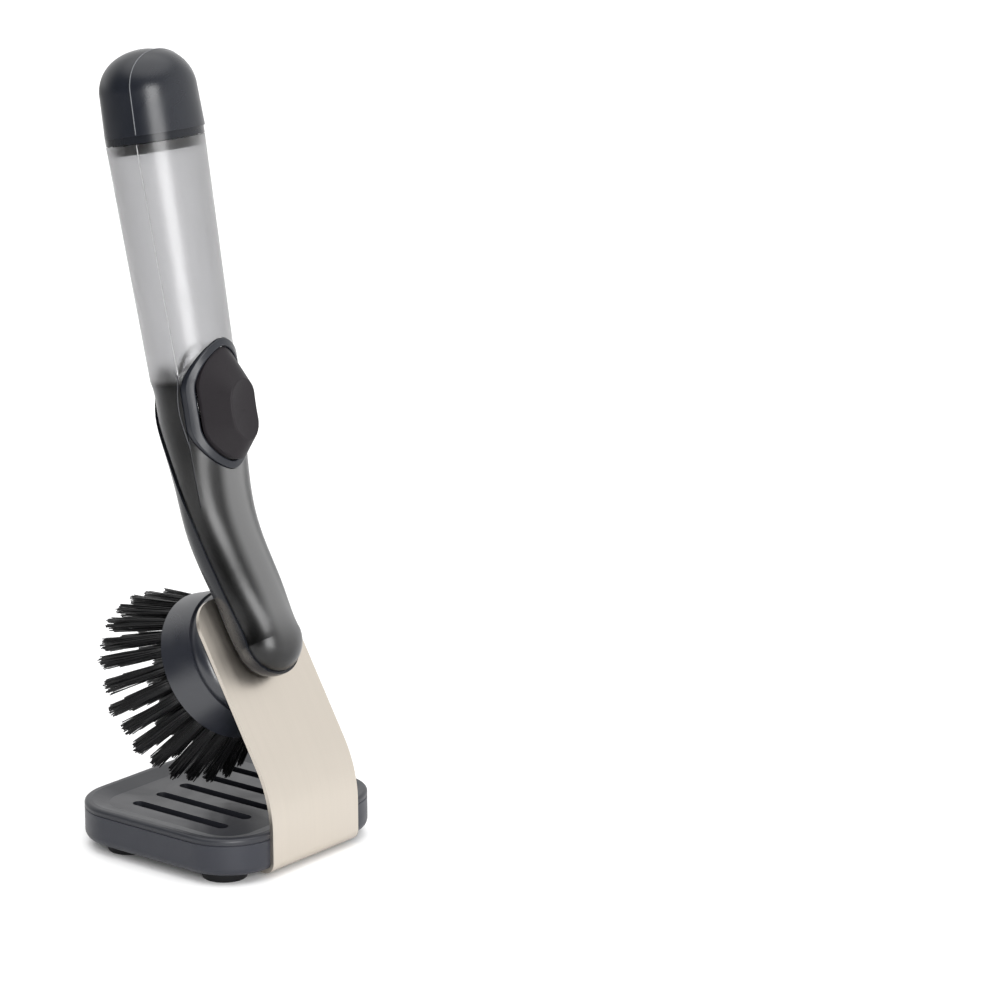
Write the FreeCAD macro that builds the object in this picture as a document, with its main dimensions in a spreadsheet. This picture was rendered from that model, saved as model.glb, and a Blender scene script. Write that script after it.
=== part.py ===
import FreeCAD, Part
import math
import operator
import os

import Sketcher
from FreeCAD import Placement, Rotation, Vector

# Soap-dispensing dish wand hanging in its drainer stand. Millimetres and degrees, +Z up.
# The stand is drawn with the front face of its steel strip at y = 0 and the floor at z = 0.
# The wand is drawn lying flat: its brush axis is Z, its handle runs towards +Y.

DIMENSIONS = {
    # Drainer base: a tub, a slotted tray and four feet
    "base_width": 82.0,
    "base_depth": 79.5,
    "base_corner": 19.0,
    "base_height": 11.2,
    "base_wall": 2.2,
    "base_floor": 2.0,
    "fold_gap": 0.2,
    "tray_rim_height": 2.4,
    "tray_rim_edge": 1.2,
    "tray_rim_width": 2.6,
    "tray_slope_width": 6.0,
    "tray_dish_depth": 1.6,
    "tray_plug_depth": 1.4,
    "tray_fit": 0.2,
    "seam_chamfer": 0.3,
    "drain_count": 5,
    "drain_pitch": 11.9,
    "drain_width": 4.4,
    "drain_length": 43.0,
    "foot_height": 3.0,
    "foot_top_radius": 8.6,
    "foot_bottom_radius": 7.6,
    "foot_side_inset": 12.4,
    "foot_front_inset": 15.0,
    "foot_back_inset": 20.5,
    # Steel strip: folded under the base, upright, bent back, with an open cradle slot
    "strip_width": 44.4,
    "strip_thickness": 1.4,
    "strip_fold_radius": 4.2,
    "strip_upright": 16.0,
    "strip_bend_radius": 45.0,
    "strip_lean": 30.0,
    "strip_straight": 59.5,
    "strip_corner": 10.0,
    "strip_foot_length": 30.0,
    "foot_clearance": 1.4,
    "strip_foot_from": 6.0,
    "cradle_drop": 20.1,
    "cradle_gap": 0.3,
    "screw_radius": 1.5,
    "screw_head_radius": 3.0,
    "screw_head_height": 1.1,
    "screw_length": 6.0,
    "screw_edge": 7.0,
    "screw_back": 18.0,
    "boss_radius": 3.6,
    "boss_height": 4.5,
    # Handle: spine of the neck and tube, then half widths and half depths along it
    "axis_height": 6.5,
    "underside_gap": 1.2,
    "neck_straight": 30.0,
    "neck_bend_radius": 102.0,
    "neck_bend": 19.2,
    "nose_half_width": 11.8,
    "nose_half_depth": 10.8,
    "throat_at": 15.0,
    "throat_half_width": 12.2,
    "throat_half_depth": 11.2,
    "neck_at": 30.0,
    "neck_half_width": 12.9,
    "neck_half_depth": 11.0,
    "bend_at": 45.0,
    "bend_half_width": 13.7,
    "bend_half_depth": 10.5,
    "bend_raise": 0.4,
    "waist_at": 56.0,
    "waist_half_width": 14.4,
    "waist_half_depth": 10.4,
    "waist_raise": 1.2,
    "heel_at": 68.0,
    "heel_half_width": 14.8,
    "heel_half_depth": 12.0,
    "heel_raise": 1.0,
    "palm_at": 81.0,
    "palm_half_width": 14.85,
    "palm_half_depth": 13.9,
    "palm_raise": 0.2,
    "tube_at": 95.0,
    "tube_start_radius": 14.83,
    "tube_end_at": 175.4,
    "tube_end_radius": 16.87,
    "shell_wall": 1.3,
    "core_gap": 0.2,
    "lip_proud": 0.8,
    "lip_height": 7.6,
    "lip_high": 8.6,
    "lip_rise_from": 34.0,
    "lip_rise_to": 52.0,
    "crease_front": 6.0,
    "crease_from": 4.0,
    "crease_width": 0.3,
    "crease_depth": 0.2,
    "core_end": 47.0,
    "core_end_round": 3.0,
    # Spigot under the nose and the soap way to the brush
    "spigot_radius": 7.0,
    "spigot_end": 12.4,
    "spigot_bore": 2.6,
    "spigot_fit": 0.05,
    "lug_radius": 8.8,
    "lug_width": 4.2,
    "lug_height": 1.9,
    "lug_gap": 0.4,
    "duct_outer_radius": 2.0,
    "duct_bore_radius": 1.2,
    "duct_fit": 0.1,
    "duct_drop": 0.7,
    # Button, valve and spring, measured outwards from the tube axis
    "button_at": 37.7,
    "button_travel": 3.0,
    "bezel_half_length": 22.6,
    "bezel_half_width": 13.6,
    "bezel_tip": 7.0,
    "bezel_straight_low": 5.5,
    "bezel_straight_high": 6.0,
    "bezel_gap": 0.25,
    "bezel_rim": 3.0,
    "bezel_round": 0.6,
    "pad_gap": 0.35,
    "pad_bottom": 10.3,
    "pad_shoulder": 11.6,
    "pad_tip_run": 5.3,
    "pad_top": 22.7,
    "pad_top_half_length": 9.8,
    "pad_top_half_width": 5.4,
    "pad_top_tip": 4.2,
    "pad_top_straight": 3.6,
    "pad_top_shift": 2.5,
    "pad_edge": 0.6,
    "dish_radius": 36.0,
    "dish_depth": 2.0,
    "cup_wall": 1.2,
    "cup_floor_top": 4.2,
    "cup_floor": 1.5,
    "cup_fit": 0.2,
    "sleeve_radius": 6.0,
    "sleeve_floor_top": -1.0,
    "sleeve_floor": 1.5,
    "stem_radius": 2.0,
    "stem_fit": 0.08,
    "flange_radius": 8.0,
    "flange_height": 1.5,
    "seal_wire": 0.6,
    "seat_top": -4.2,
    "seat_height": 1.5,
    "seat_bore": 2.8,
    "poppet_radius": 4.0,
    "poppet_height": 1.2,
    "poppet_gap": 0.2,
    "outlet_radius": 5.0,
    "outlet_floor": -10.6,
    "inlet_radius": 1.5,
    "spring_radius": 4.2,
    "spring_wire": 0.9,
    "spring_turns": 5,
    # Fill cap with its plug
    "ring_height": 2.6,
    "ring_gap": 0.3,
    "cap_side": 13.9,
    "cap_top_radius": 16.35,
    "cap_shoulder": 13.5,
    "cap_crown": 19.5,
    "cap_ledge": 0.5,
    "cap_ledge_round": 0.35,
    "cap_ledge_front": 6.4,
    "plug_radius": 14.65,
    "plug_wall": 1.8,
    "plug_depth": 3.4,
    "plug_seal_depth": 1.9,
    "plug_seal_wire": 0.6,
    # Brush head, measured down from the front face of the strip
    "head_top": 1.9,
    "head_seam": 7.6,
    "head_rim": 19.4,
    "cover_radius": 22.8,
    "cover_shoulder": 4.6,
    "cover_wall": 2.0,
    "hub_wall": 3.2,
    "hub_end": 10.0,
    "tab_radius": 3.6,
    "tab_reach": 22.2,
    "tab_top": 3.0,
    "tab_angle": -52.0,
    "twist": 60.0,
    "collar_top_radius": 23.6,
    "collar_rim_radius": 26.5,
    "collar_wall": 2.2,
    "collar_gap": 0.15,
    "plate_top": 13.0,
    "plate_bottom": 17.6,
    "plate_fit": 0.15,
    "valve_radius": 3.4,
    "valve_flange_radius": 5.2,
    "valve_flange_height": 0.5,
    "valve_slit": 0.6,
    "tuft_end": 42.5,
    "tuft_root_radius": 1.45,
    "tuft_tip_radius": 2.2,
    "tuft_sides": 8,
    "outer_count": 26,
    "outer_root": 21.3,
    "outer_tip": 33.2,
    "middle_count": 20,
    "middle_root": 16.6,
    "middle_tip": 26.0,
    "inner_count": 14,
    "inner_root": 11.9,
    "inner_tip": 18.6,
    "centre_count": 9,
    "centre_root": 7.4,
    "centre_tip": 11.4,
}

doc = FreeCAD.newDocument("dish_wand")
sheet = doc.addObject("Spreadsheet::Sheet", "dims")


class Size:
    """A number that keeps the sheet formula it comes from beside its value."""

    def __init__(self, formula, value):
        self.formula = formula
        self.value = value

    def __add__(self, other):
        return combine(self, "+", other)

    def __radd__(self, other):
        return combine(other, "+", self)

    def __sub__(self, other):
        return combine(self, "-", other)

    def __rsub__(self, other):
        return combine(other, "-", self)

    def __mul__(self, other):
        return combine(self, "*", other)

    def __rmul__(self, other):
        return combine(other, "*", self)

    def __truediv__(self, other):
        return combine(self, "/", other)

    def __neg__(self):
        return combine(0, "-", self)


SIGNS = {"+": operator.add, "-": operator.sub, "*": operator.mul, "/": operator.truediv}


def as_size(number):
    """A plain number as a Size, or the Size itself."""
    if isinstance(number, Size):
        return number
    return Size(f"{number}", float(number))


def combine(left, sign, right):
    """Two sizes joined by an arithmetic sign, in value and in formula."""
    left, right = as_size(left), as_size(right)
    return Size(f"({left.formula} {sign} {right.formula})", SIGNS[sign](left.value, right.value))


def sine(angle):
    return Size(f"sin({angle.formula})", math.sin(math.radians(angle.value)))


def cosine(angle):
    return Size(f"cos({angle.formula})", math.cos(math.radians(angle.value)))


def tangent(angle):
    return Size(f"tan({angle.formula})", math.tan(math.radians(angle.value)))


def root(number):
    return Size(f"sqrt({number.formula})", math.sqrt(number.value))


class Dimensions:
    """The sheet's sizes, one attribute for each alias."""


d = Dimensions()
for row, (alias, number) in enumerate(DIMENSIONS.items(), start=1):
    sheet.set(f"A{row}", alias)
    sheet.set(f"B{row}", str(number))
    sheet.setAlias(f"B{row}", alias)
    setattr(d, alias, Size(f"dims.{alias}", number))
doc.recompute()

NODES = []


def node(label, feature, frame):
    """Name a finished sub-part and put it in its place on the object."""
    feature.Label = label
    feature.Placement = frame
    NODES.append(feature)
    return feature


def bind(feature, **sizes):
    """Set properties from sizes and tie them to the sheet."""
    for name, number in sizes.items():
        size = as_size(number)
        setattr(feature, name, size.value)
        feature.setExpression(name, size.formula)
    return feature


TOUCH = 0.001


def near(first, second):
    return abs(first - as_size(second).value) < TOUCH


def at(x, y, z, rotation=Rotation()):
    """A placement from sizes or plain numbers."""
    return Placement(Vector(*(as_size(number).value for number in (x, y, z))), rotation)


def turn_x(angle):
    return Rotation(Vector(1, 0, 0), as_size(angle).value)


def turn_z(angle):
    return Rotation(Vector(0, 0, 1), as_size(angle).value)


def primitive(kind, name, frame=Placement(), **sizes):
    """One Part primitive with its sizes tied to the sheet."""
    feature = doc.addObject("Part::" + kind, name)
    bind(feature, **sizes)
    feature.Placement = frame
    return feature


def cut(name, base, *tools):
    """The base with every tool taken away."""
    for tool in tools:
        stage = name if tool is tools[-1] else name + "_stage"
        feature = doc.addObject("Part::Cut", stage)
        feature.Base = base
        feature.Tool = tool
        base = feature
    return base


def fuse(name, *shapes):
    feature = doc.addObject("Part::MultiFuse", name)
    feature.Shapes = list(shapes)
    return feature


def common(name, first, second):
    feature = doc.addObject("Part::Common", name)
    feature.Base = first
    feature.Tool = second
    return feature


def rounded(name, base, radius, test):
    """A rounding of the base's edges that pass a test."""
    doc.recompute()
    feature = doc.addObject("Part::Fillet", name)
    feature.Base = base
    feature.Edges = [(index, radius.value, radius.value)
                     for index, edge in enumerate(base.Shape.Edges, start=1) if test(edge)]
    return feature


def group(name, solids):
    """Separate solids that share one node."""
    feature = doc.addObject("Part::Compound", name)
    feature.Links = solids
    return feature


def block(name, low, high):
    """A box between two opposite corners."""
    sizes = [last - first for first, last in zip(map(as_size, low), map(as_size, high))]
    return primitive("Box", name, at(*low), Length=sizes[0], Width=sizes[1], Height=sizes[2])


def plane_of(body, role):
    return next(item for item in body.Origin.OriginFeatures if item.Role == role)


def new_sketch(body, role, offset=Placement()):
    """A sketch on one of the body's own origin planes."""
    sketch = body.newObject("Sketcher::SketchObject", body.Name + "_sketch")
    sketch.AttachmentSupport = [(plane_of(body, role), "")]
    sketch.MapMode = "FlatFace"
    sketch.AttachmentOffset = offset
    return sketch


def arc_between(start, end, radius):
    """The short arc between two points; a positive radius turns anticlockwise."""
    chord = end - start
    half = chord.Length / 2
    rise = math.sqrt(max(radius * radius - half * half, 0.0))
    side = Vector(-chord.y, chord.x, 0).normalize() * math.copysign(rise, radius)
    centre = (start + end) * 0.5 + side
    first, last = (start, end) if radius > 0 else (end, start)
    begin = math.atan2(first.y - centre.y, first.x - centre.x)
    finish = math.atan2(last.y - centre.y, last.x - centre.x)
    circle = Part.Circle(centre, Vector(0, 0, 1), abs(radius))
    return Part.ArcOfCircle(circle, begin, finish)


def pin_point(sketch, edge, end, x, y):
    """Tie one end of an edge to sheet sizes, measured from the sketch origin."""
    for kind, number in (("DistanceX", x), ("DistanceY", y)):
        size = as_size(number)
        index = sketch.addConstraint(Sketcher.Constraint(kind, -1, 1, edge, end, size.value))
        sketch.setExpression(f"Constraints[{index}]", size.formula)


def pin_arc(sketch, edge, corner, chord):
    """Tie an arc's radius to the sheet; a level half round has its centre between its ends instead."""
    radius = as_size(corner[2])
    if near(chord, 2 * abs(radius.value)):
        level = as_size(corner[1])
        index = sketch.addConstraint(Sketcher.Constraint("DistanceY", -1, 1, edge, 3, level.value))
        sketch.setExpression(f"Constraints[{index}]", level.formula)
        return
    index = sketch.addConstraint(Sketcher.Constraint("Radius", edge, abs(radius.value)))
    formula = radius.formula if radius.value > 0 else f"-({radius.formula})"
    sketch.setExpression(f"Constraints[{index}]", formula)


def draw(sketch, corners):
    """Add a closed outline. A corner is (x, y), or (x, y, radius) where an arc leads to it."""
    points = [Vector(as_size(corner[0]).value, as_size(corner[1]).value, 0) for corner in corners]
    first_edge = sketch.GeometryCount
    ends = []
    for index, corner in enumerate(corners):
        if len(corner) == 2:
            sketch.addGeometry(Part.LineSegment(points[index - 1], points[index]), False)
            ends.append((1, 2))
            continue
        radius = as_size(corner[2])
        sketch.addGeometry(arc_between(points[index - 1], points[index], radius.value), False)
        ends.append((1, 2) if radius.value > 0 else (2, 1))
    for index, corner in enumerate(corners):
        following = (index + 1) % len(corners)
        sketch.addConstraint(Sketcher.Constraint(
            "Coincident", first_edge + index, ends[index][1], first_edge + following, ends[following][0]))
        pin_point(sketch, first_edge + index, ends[index][1], corner[0], corner[1])
        if len(corner) == 3:
            pin_arc(sketch, first_edge + index, corner, (points[index] - points[index - 1]).Length)


def draw_circle(sketch, x, y, radius):
    """Add one circle, centred at sheet sizes."""
    centre = Vector(as_size(x).value, as_size(y).value, 0)
    edge = sketch.addGeometry(Part.Circle(centre, Vector(0, 0, 1), as_size(radius).value), False)
    pin_point(sketch, edge, 3, x, y)
    index = sketch.addConstraint(Sketcher.Constraint("Radius", edge, as_size(radius).value))
    sketch.setExpression(f"Constraints[{index}]", as_size(radius).formula)


def new_body(name):
    return doc.addObject("PartDesign::Body", name)


def feature_of(body, kind, sketch, **sizes):
    """A sketch-based PartDesign feature at the end of the body."""
    feature = body.newObject("PartDesign::" + kind, f"{body.Name}_{kind.lower()}")
    feature.Profile = sketch
    bind(feature, **sizes)
    return feature


def turned(name, *outlines):
    """A body turned about its Z axis from half outlines of (radius, height) corners."""
    body = new_body(name)
    sketch = new_sketch(body, "XZ_Plane")
    for corners in outlines:
        draw(sketch, corners)
    turn = body.newObject("PartDesign::Revolution", name + "_turn")
    turn.Profile = sketch
    turn.ReferenceAxis = (sketch, ["V_Axis"])
    bind(turn, Angle=360)
    return body


def edges_where(feature, test):
    """Names of the feature's edges whose every vertex passes a test."""
    names = []
    for index, edge in enumerate(feature.Shape.Edges, start=1):
        if all(test(vertex.Point) for vertex in edge.Vertexes):
            names.append(f"Edge{index}")
    return names


def dress(body, kind, base, names, **sizes):
    """A PartDesign fillet or chamfer on named edges of the last feature."""
    feature = body.newObject("PartDesign::" + kind, f"{body.Name}_{kind.lower()}")
    feature.Base = (base, names)
    bind(feature, **sizes)
    return feature


# Places shared by several pieces

base_front = d.strip_thickness
base_back = base_front + d.base_depth
seam_height = d.foot_height + d.base_height

foot_side = d.base_width / 2 - d.foot_side_inset
strip_foot_half = foot_side - d.foot_top_radius - d.foot_clearance
screw_side = strip_foot_half - d.screw_edge

bend_end_back = d.strip_bend_radius * (1 - cosine(d.strip_lean))
bend_end_height = d.strip_upright + d.strip_bend_radius * sine(d.strip_lean)
cradle_reach = d.strip_straight - d.cradle_drop
cradle_back = bend_end_back + cradle_reach * sine(d.strip_lean)
cradle_height = bend_end_height + cradle_reach * cosine(d.strip_lean)

bend_tangent = d.neck_bend_radius * tangent(d.neck_bend / 2)
corner_at = d.neck_straight + bend_tangent
bend_length = d.neck_bend_radius * d.neck_bend * (math.pi / 180)
tube_offset = d.neck_straight + bend_length - bend_tangent
tube_length = d.tube_end_at - d.tube_at
tube_start = d.tube_at - tube_offset
tube_end = d.tube_end_at - tube_offset

stand_frame = Placement()
brush_frame = at(0, cradle_back, cradle_height, turn_x(90 - d.strip_lean))
grip_in_brush = at(0, corner_at, d.axis_height, turn_x(d.neck_bend))
barrel_in_brush = grip_in_brush * at(0, 0, 0, turn_x(-90))
button_in_brush = grip_in_brush * at(0, d.button_at, 0)
barrel_frame = brush_frame * barrel_in_brush
button_frame = brush_frame * button_in_brush


# Stand

def rounded_outline(sketch, inset):
    """The base's plan outline, moved inwards by an inset."""
    side = d.base_width / 2 - inset
    front = base_front + inset
    back = base_back - inset
    corner = d.base_corner - inset
    draw(sketch, [
        (-(side - corner), front, corner),
        (side - corner, front),
        (side, front + corner, corner),
        (side, back - corner),
        (side - corner, back, corner),
        (-(side - corner), back),
        (-side, back - corner, corner),
        (-side, front + corner),
    ])


def make_base_shell():
    """The tub that catches the drips, with bosses for the strip's screws."""
    body = new_body("base_shell")
    outline = new_sketch(body, "XY_Plane", at(0, 0, d.foot_height))
    rounded_outline(outline, as_size(0))
    pad = feature_of(body, "Pad", outline, Length=d.base_height)
    doc.recompute()
    low = edges_where(pad, lambda point: near(point.z, d.foot_height))
    fillet = dress(body, "Fillet", pad, low, Radius=d.strip_fold_radius - d.strip_thickness + d.fold_gap)
    doc.recompute()
    high = edges_where(fillet, lambda point: near(point.z, seam_height))
    dress(body, "Chamfer", fillet, high, Size=d.seam_chamfer)
    well = new_sketch(body, "XY_Plane", at(0, 0, seam_height))
    rounded_outline(well, d.base_wall)
    feature_of(body, "Pocket", well, Length=d.base_height - d.base_floor)
    bosses = new_sketch(body, "XY_Plane", at(0, 0, d.foot_height + d.base_floor))
    draw_circle(bosses, -screw_side, d.screw_back, d.boss_radius)
    draw_circle(bosses, screw_side, d.screw_back, d.boss_radius)
    feature_of(body, "Pad", bosses, Length=d.boss_height)
    holes = new_sketch(body, "XY_Plane", at(0, 0, d.foot_height))
    draw_circle(holes, -screw_side, d.screw_back, d.screw_radius)
    draw_circle(holes, screw_side, d.screw_back, d.screw_radius)
    drilling = feature_of(body, "Pocket", holes, Length=d.screw_length - d.strip_thickness)
    drilling.Reversed = True
    return node("base_shell", body, stand_frame)


def make_drip_tray():
    """The dished tray with its drain slots, plugged into the tub."""
    body = new_body("drip_tray")
    rim_top = seam_height + d.tray_rim_height
    outline = new_sketch(body, "XY_Plane", at(0, 0, seam_height))
    rounded_outline(outline, as_size(0))
    rim = feature_of(body, "Pad", outline, Length=d.tray_rim_height)
    doc.recompute()
    high = edges_where(rim, lambda point: near(point.z, rim_top))
    rounded = dress(body, "Fillet", rim, high, Radius=d.tray_rim_edge)
    doc.recompute()
    low = edges_where(rounded, lambda point: near(point.z, seam_height))
    dress(body, "Chamfer", rounded, low, Size=d.seam_chamfer)
    plug = new_sketch(body, "XY_Plane", at(0, 0, seam_height))
    rounded_outline(plug, d.base_wall + d.tray_fit)
    lower = feature_of(body, "Pad", plug, Length=d.tray_plug_depth)
    lower.Reversed = True
    dish_top = new_sketch(body, "XY_Plane", at(0, 0, rim_top))
    rounded_outline(dish_top, d.tray_rim_width)
    dish_floor = new_sketch(body, "XY_Plane", at(0, 0, rim_top - d.tray_dish_depth))
    rounded_outline(dish_floor, d.tray_rim_width + d.tray_slope_width)
    dish = body.newObject("PartDesign::SubtractiveLoft", "drip_tray_dish")
    dish.Profile = dish_top
    dish.Sections = [dish_floor]
    dish.Ruled = True
    drain = new_sketch(body, "XY_Plane", at(0, 0, rim_top))
    half = d.drain_width / 2
    left = -(d.drain_pitch * (d.drain_count - 1) / 2)
    middle = (base_front + base_back) / 2
    front = middle - d.drain_length / 2 + half
    back = middle + d.drain_length / 2 - half
    draw(drain, [
        (left - half, front),
        (left + half, front, half),
        (left + half, back),
        (left - half, back, half),
    ])
    slot = feature_of(body, "Pocket", drain, Length=d.tray_rim_height + 2 * d.tray_plug_depth)
    row_of_slots = body.newObject("PartDesign::LinearPattern", "drip_tray_drains")
    row_of_slots.Originals = [slot]
    row_of_slots.Direction = (drain, ["H_Axis"])
    row_of_slots.Mode = "Spacing"
    bind(row_of_slots, Offset=d.drain_pitch)
    row_of_slots.Occurrences = DIMENSIONS["drain_count"]
    row_of_slots.setExpression("Occurrences", d.drain_count.formula)
    body.Tip = row_of_slots
    return node("drip_tray", body, stand_frame)


def make_rubber_feet():
    """Four tapered feet under the tub."""
    feet = []
    for x in (-foot_side, foot_side):
        for y in (base_front + d.foot_front_inset, base_back - d.foot_back_inset):
            feet.append(primitive(
                "Cone", "foot", at(x, y, 0), Radius1=d.foot_bottom_radius,
                Radius2=d.foot_top_radius, Height=d.foot_height))
    return node("rubber_feet", group("rubber_feet", feet), stand_frame)


def make_steel_bracket():
    """The bent strip with its foot, its cradle slot and its screw holes."""
    body = new_body("steel_bracket")
    thickness = d.strip_thickness
    under = d.foot_height - thickness
    fold = d.strip_fold_radius
    lean_sine, lean_cosine = sine(d.strip_lean), cosine(d.strip_lean)
    top_back = bend_end_back + d.strip_straight * lean_sine
    top_height = bend_end_height + d.strip_straight * lean_cosine
    profile = new_sketch(body, "YZ_Plane")
    draw(profile, [
        (d.strip_foot_length, under),
        (fold, under),
        (as_size(0), under + fold, -fold),
        (as_size(0), d.strip_upright),
        (bend_end_back, bend_end_height, -d.strip_bend_radius),
        (top_back, top_height),
        (top_back + thickness * lean_cosine, top_height - thickness * lean_sine),
        (bend_end_back + thickness * lean_cosine, bend_end_height - thickness * lean_sine),
        (thickness, d.strip_upright, d.strip_bend_radius - thickness),
        (thickness, under + fold),
        (fold, under + thickness, fold - thickness),
        (d.strip_foot_length, under + thickness),
    ])
    strip = feature_of(body, "Pad", profile, Length=d.strip_width)
    strip.SideType = "Symmetric"
    doc.recompute()

    def is_top_corner(point):
        return near(abs(point.x), d.strip_width / 2) and point.z > top_height.value - thickness.value

    corners = [name for name in edges_where(strip, is_top_corner)
               if near(strip.Shape.getElement(name).Length, thickness)]
    dress(body, "Fillet", strip, corners, Radius=d.strip_corner)
    half = d.spigot_radius + d.cradle_gap
    cradle = new_sketch(body, "XY_Plane", at(0, cradle_back, cradle_height, turn_x(90 - d.strip_lean)))
    draw(cradle, [
        (-half, as_size(0)),
        (half, as_size(0), half),
        (half, d.cradle_drop + d.strip_corner),
        (-half, d.cradle_drop + d.strip_corner),
    ])
    opening = feature_of(body, "Pocket", cradle, Length=4 * thickness)
    opening.SideType = "Symmetric"
    holes = new_sketch(body, "XY_Plane", at(0, 0, d.foot_height))
    draw_circle(holes, -screw_side, d.screw_back, d.screw_radius)
    draw_circle(holes, screw_side, d.screw_back, d.screw_radius)
    for inner, outer in ((strip_foot_half, d.strip_width), (-d.strip_width, -strip_foot_half)):
        draw(holes, [
            (inner, d.strip_foot_from),
            (outer, d.strip_foot_from),
            (outer, 2 * d.strip_foot_length),
            (inner, 2 * d.strip_foot_length),
        ])
    feature_of(body, "Pocket", holes, Length=2 * thickness)
    return node("steel_bracket", body, stand_frame)


def make_bracket_screws():
    """Two pan-head screws through the strip's foot into the tub."""
    under = d.foot_height - d.strip_thickness
    screws = []
    for x in (-screw_side, screw_side):
        shank = primitive("Cylinder", "screw_shank", at(x, d.screw_back, under),
                          Radius=d.screw_radius, Height=d.screw_length)
        head = primitive("Cylinder", "screw_head", at(x, d.screw_back, under - d.screw_head_height),
                         Radius=d.screw_head_radius, Height=d.screw_head_height)
        screws.append(fuse("screw", shank, head))
    return node("bracket_screws", group("bracket_screws", screws), stand_frame)


# Handle

STATIONS = [
    (as_size(0), d.nose_half_width, d.nose_half_depth, as_size(0)),
    (d.throat_at, d.throat_half_width, d.throat_half_depth, as_size(0)),
    (d.neck_at, d.neck_half_width, d.neck_half_depth, as_size(0)),
    (d.bend_at, d.bend_half_width, d.bend_half_depth, d.bend_raise),
    (d.waist_at, d.waist_half_width, d.waist_half_depth, d.waist_raise),
    (d.heel_at, d.heel_half_width, d.heel_half_depth, d.heel_raise),
    (d.palm_at, d.palm_half_width, d.palm_half_depth, d.palm_raise),
    (d.tube_at, d.tube_start_radius, d.tube_start_radius, as_size(0)),
]


def on_spine(distance, rise):
    """A frame across the handle: Z along the spine, X to the side, raised to the front."""
    straight = d.neck_straight.value
    radius = d.neck_bend_radius.value
    full = math.radians(d.neck_bend.value)
    turned_by = min(max((distance - straight) / radius, 0.0), full)
    beyond = max(distance - straight - radius * full, 0.0)
    y = min(distance, straight) + radius * math.sin(turned_by) + beyond * math.cos(turned_by)
    z = radius * (1 - math.cos(turned_by)) + beyond * math.sin(turned_by)
    y -= rise * math.sin(turned_by)
    z += d.axis_height.value + rise * math.cos(turned_by)
    return Placement(Vector(0, y, z), turn_x(math.degrees(turned_by) - 90))


def handle_form(name, inset):
    """The whole handle from nose to tube end, with every surface moved inwards by an inset."""
    nose = primitive("Ellipsoid", name + "_nose", at(0, 0, d.axis_height, turn_z(180)),
                     Radius1=d.nose_half_depth - inset, Radius2=d.nose_half_width - inset,
                     Radius3=d.nose_half_width - inset, Angle3=180)
    sections = []
    for distance, half_width, half_depth, rise in STATIONS:
        section = primitive("Ellipse", name + "_section", on_spine(distance.value, rise.value),
                            MajorRadius=half_width - inset, MinorRadius=half_depth - inset)
        sections.append(section)
    neck = doc.addObject("Part::Loft", name + "_neck")
    neck.Sections = sections
    neck.Solid = True
    tube = primitive("Cone", name + "_tube", on_spine(d.tube_at.value, 0.0),
                     Radius1=d.tube_start_radius - inset, Radius2=d.tube_end_radius - inset,
                     Height=tube_length)
    return fuse(name, nose, neck, tube)


def zone_below_lip(name, bottom):
    """Everything between a flat bottom and the lip line, right across the handle."""
    sketch = doc.addObject("Sketcher::SketchObject", name + "_sketch")
    sketch.Placement = Placement(Vector(), Rotation(Vector(1, 1, 1), 120))
    reach = d.tube_end_at
    draw(sketch, [
        (-reach, bottom),
        (reach, bottom),
        (reach, d.lip_high),
        (d.lip_rise_to, d.lip_high),
        (d.lip_rise_from, d.lip_height),
        (-reach, d.lip_height),
    ])
    feature = doc.addObject("Part::Extrusion", name)
    feature.Base = sketch
    feature.DirMode = "Normal"
    feature.Solid = True
    feature.Symmetric = True
    return bind(feature, LengthFwd=4 * d.tube_end_radius)


def hull_sketch(name, frame, length, width, tip, low, high):
    """A boat-shaped outline along Y: straight sides between low and high, bowed ends, round tips."""

    def bowed_end(straight):
        run = length - tip - straight
        bow = (width * width + run * run - tip * tip) / (2 * (width - tip))
        share = bow / (bow - tip)
        return bow, width - bow + (bow - width) * share, straight + run * share

    nose_bow, nose_side, nose_reach = bowed_end(low)
    tail_bow, tail_side, tail_reach = bowed_end(high)
    sketch = doc.addObject("Sketcher::SketchObject", name)
    sketch.Placement = frame
    draw(sketch, [
        (nose_side, -nose_reach, tip),
        (width, -low, nose_bow),
        (width, high),
        (tail_side, tail_reach, tail_bow),
        (-tail_side, tail_reach, tip),
        (-width, high, tail_bow),
        (-width, -low),
        (-nose_side, -nose_reach, nose_bow),
    ])
    return sketch


def bezel_sketch(name, margin, frame):
    """The bezel's outline moved inwards by a margin."""
    return hull_sketch(name, frame, d.bezel_half_length - margin, d.bezel_half_width - margin,
                       d.bezel_tip - margin, d.bezel_straight_low, d.bezel_straight_high)


def bezel_prism(name, margin, bottom, top, frame):
    """A column with the bezel's outline moved inwards by a margin."""
    feature = doc.addObject("Part::Extrusion", name)
    feature.Base = bezel_sketch(name + "_sketch", margin, frame * at(0, 0, bottom))
    feature.DirMode = "Normal"
    feature.Solid = True
    return bind(feature, LengthFwd=top - bottom)


def lies_on(edge, feature):
    """Whether an edge's middle lies on the skin of another shape."""
    middle = edge.valueAt((edge.FirstParameter + edge.LastParameter) / 2)
    return feature.Shape.Shells[0].distToShape(Part.Vertex(middle))[0] < TOUCH


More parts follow.
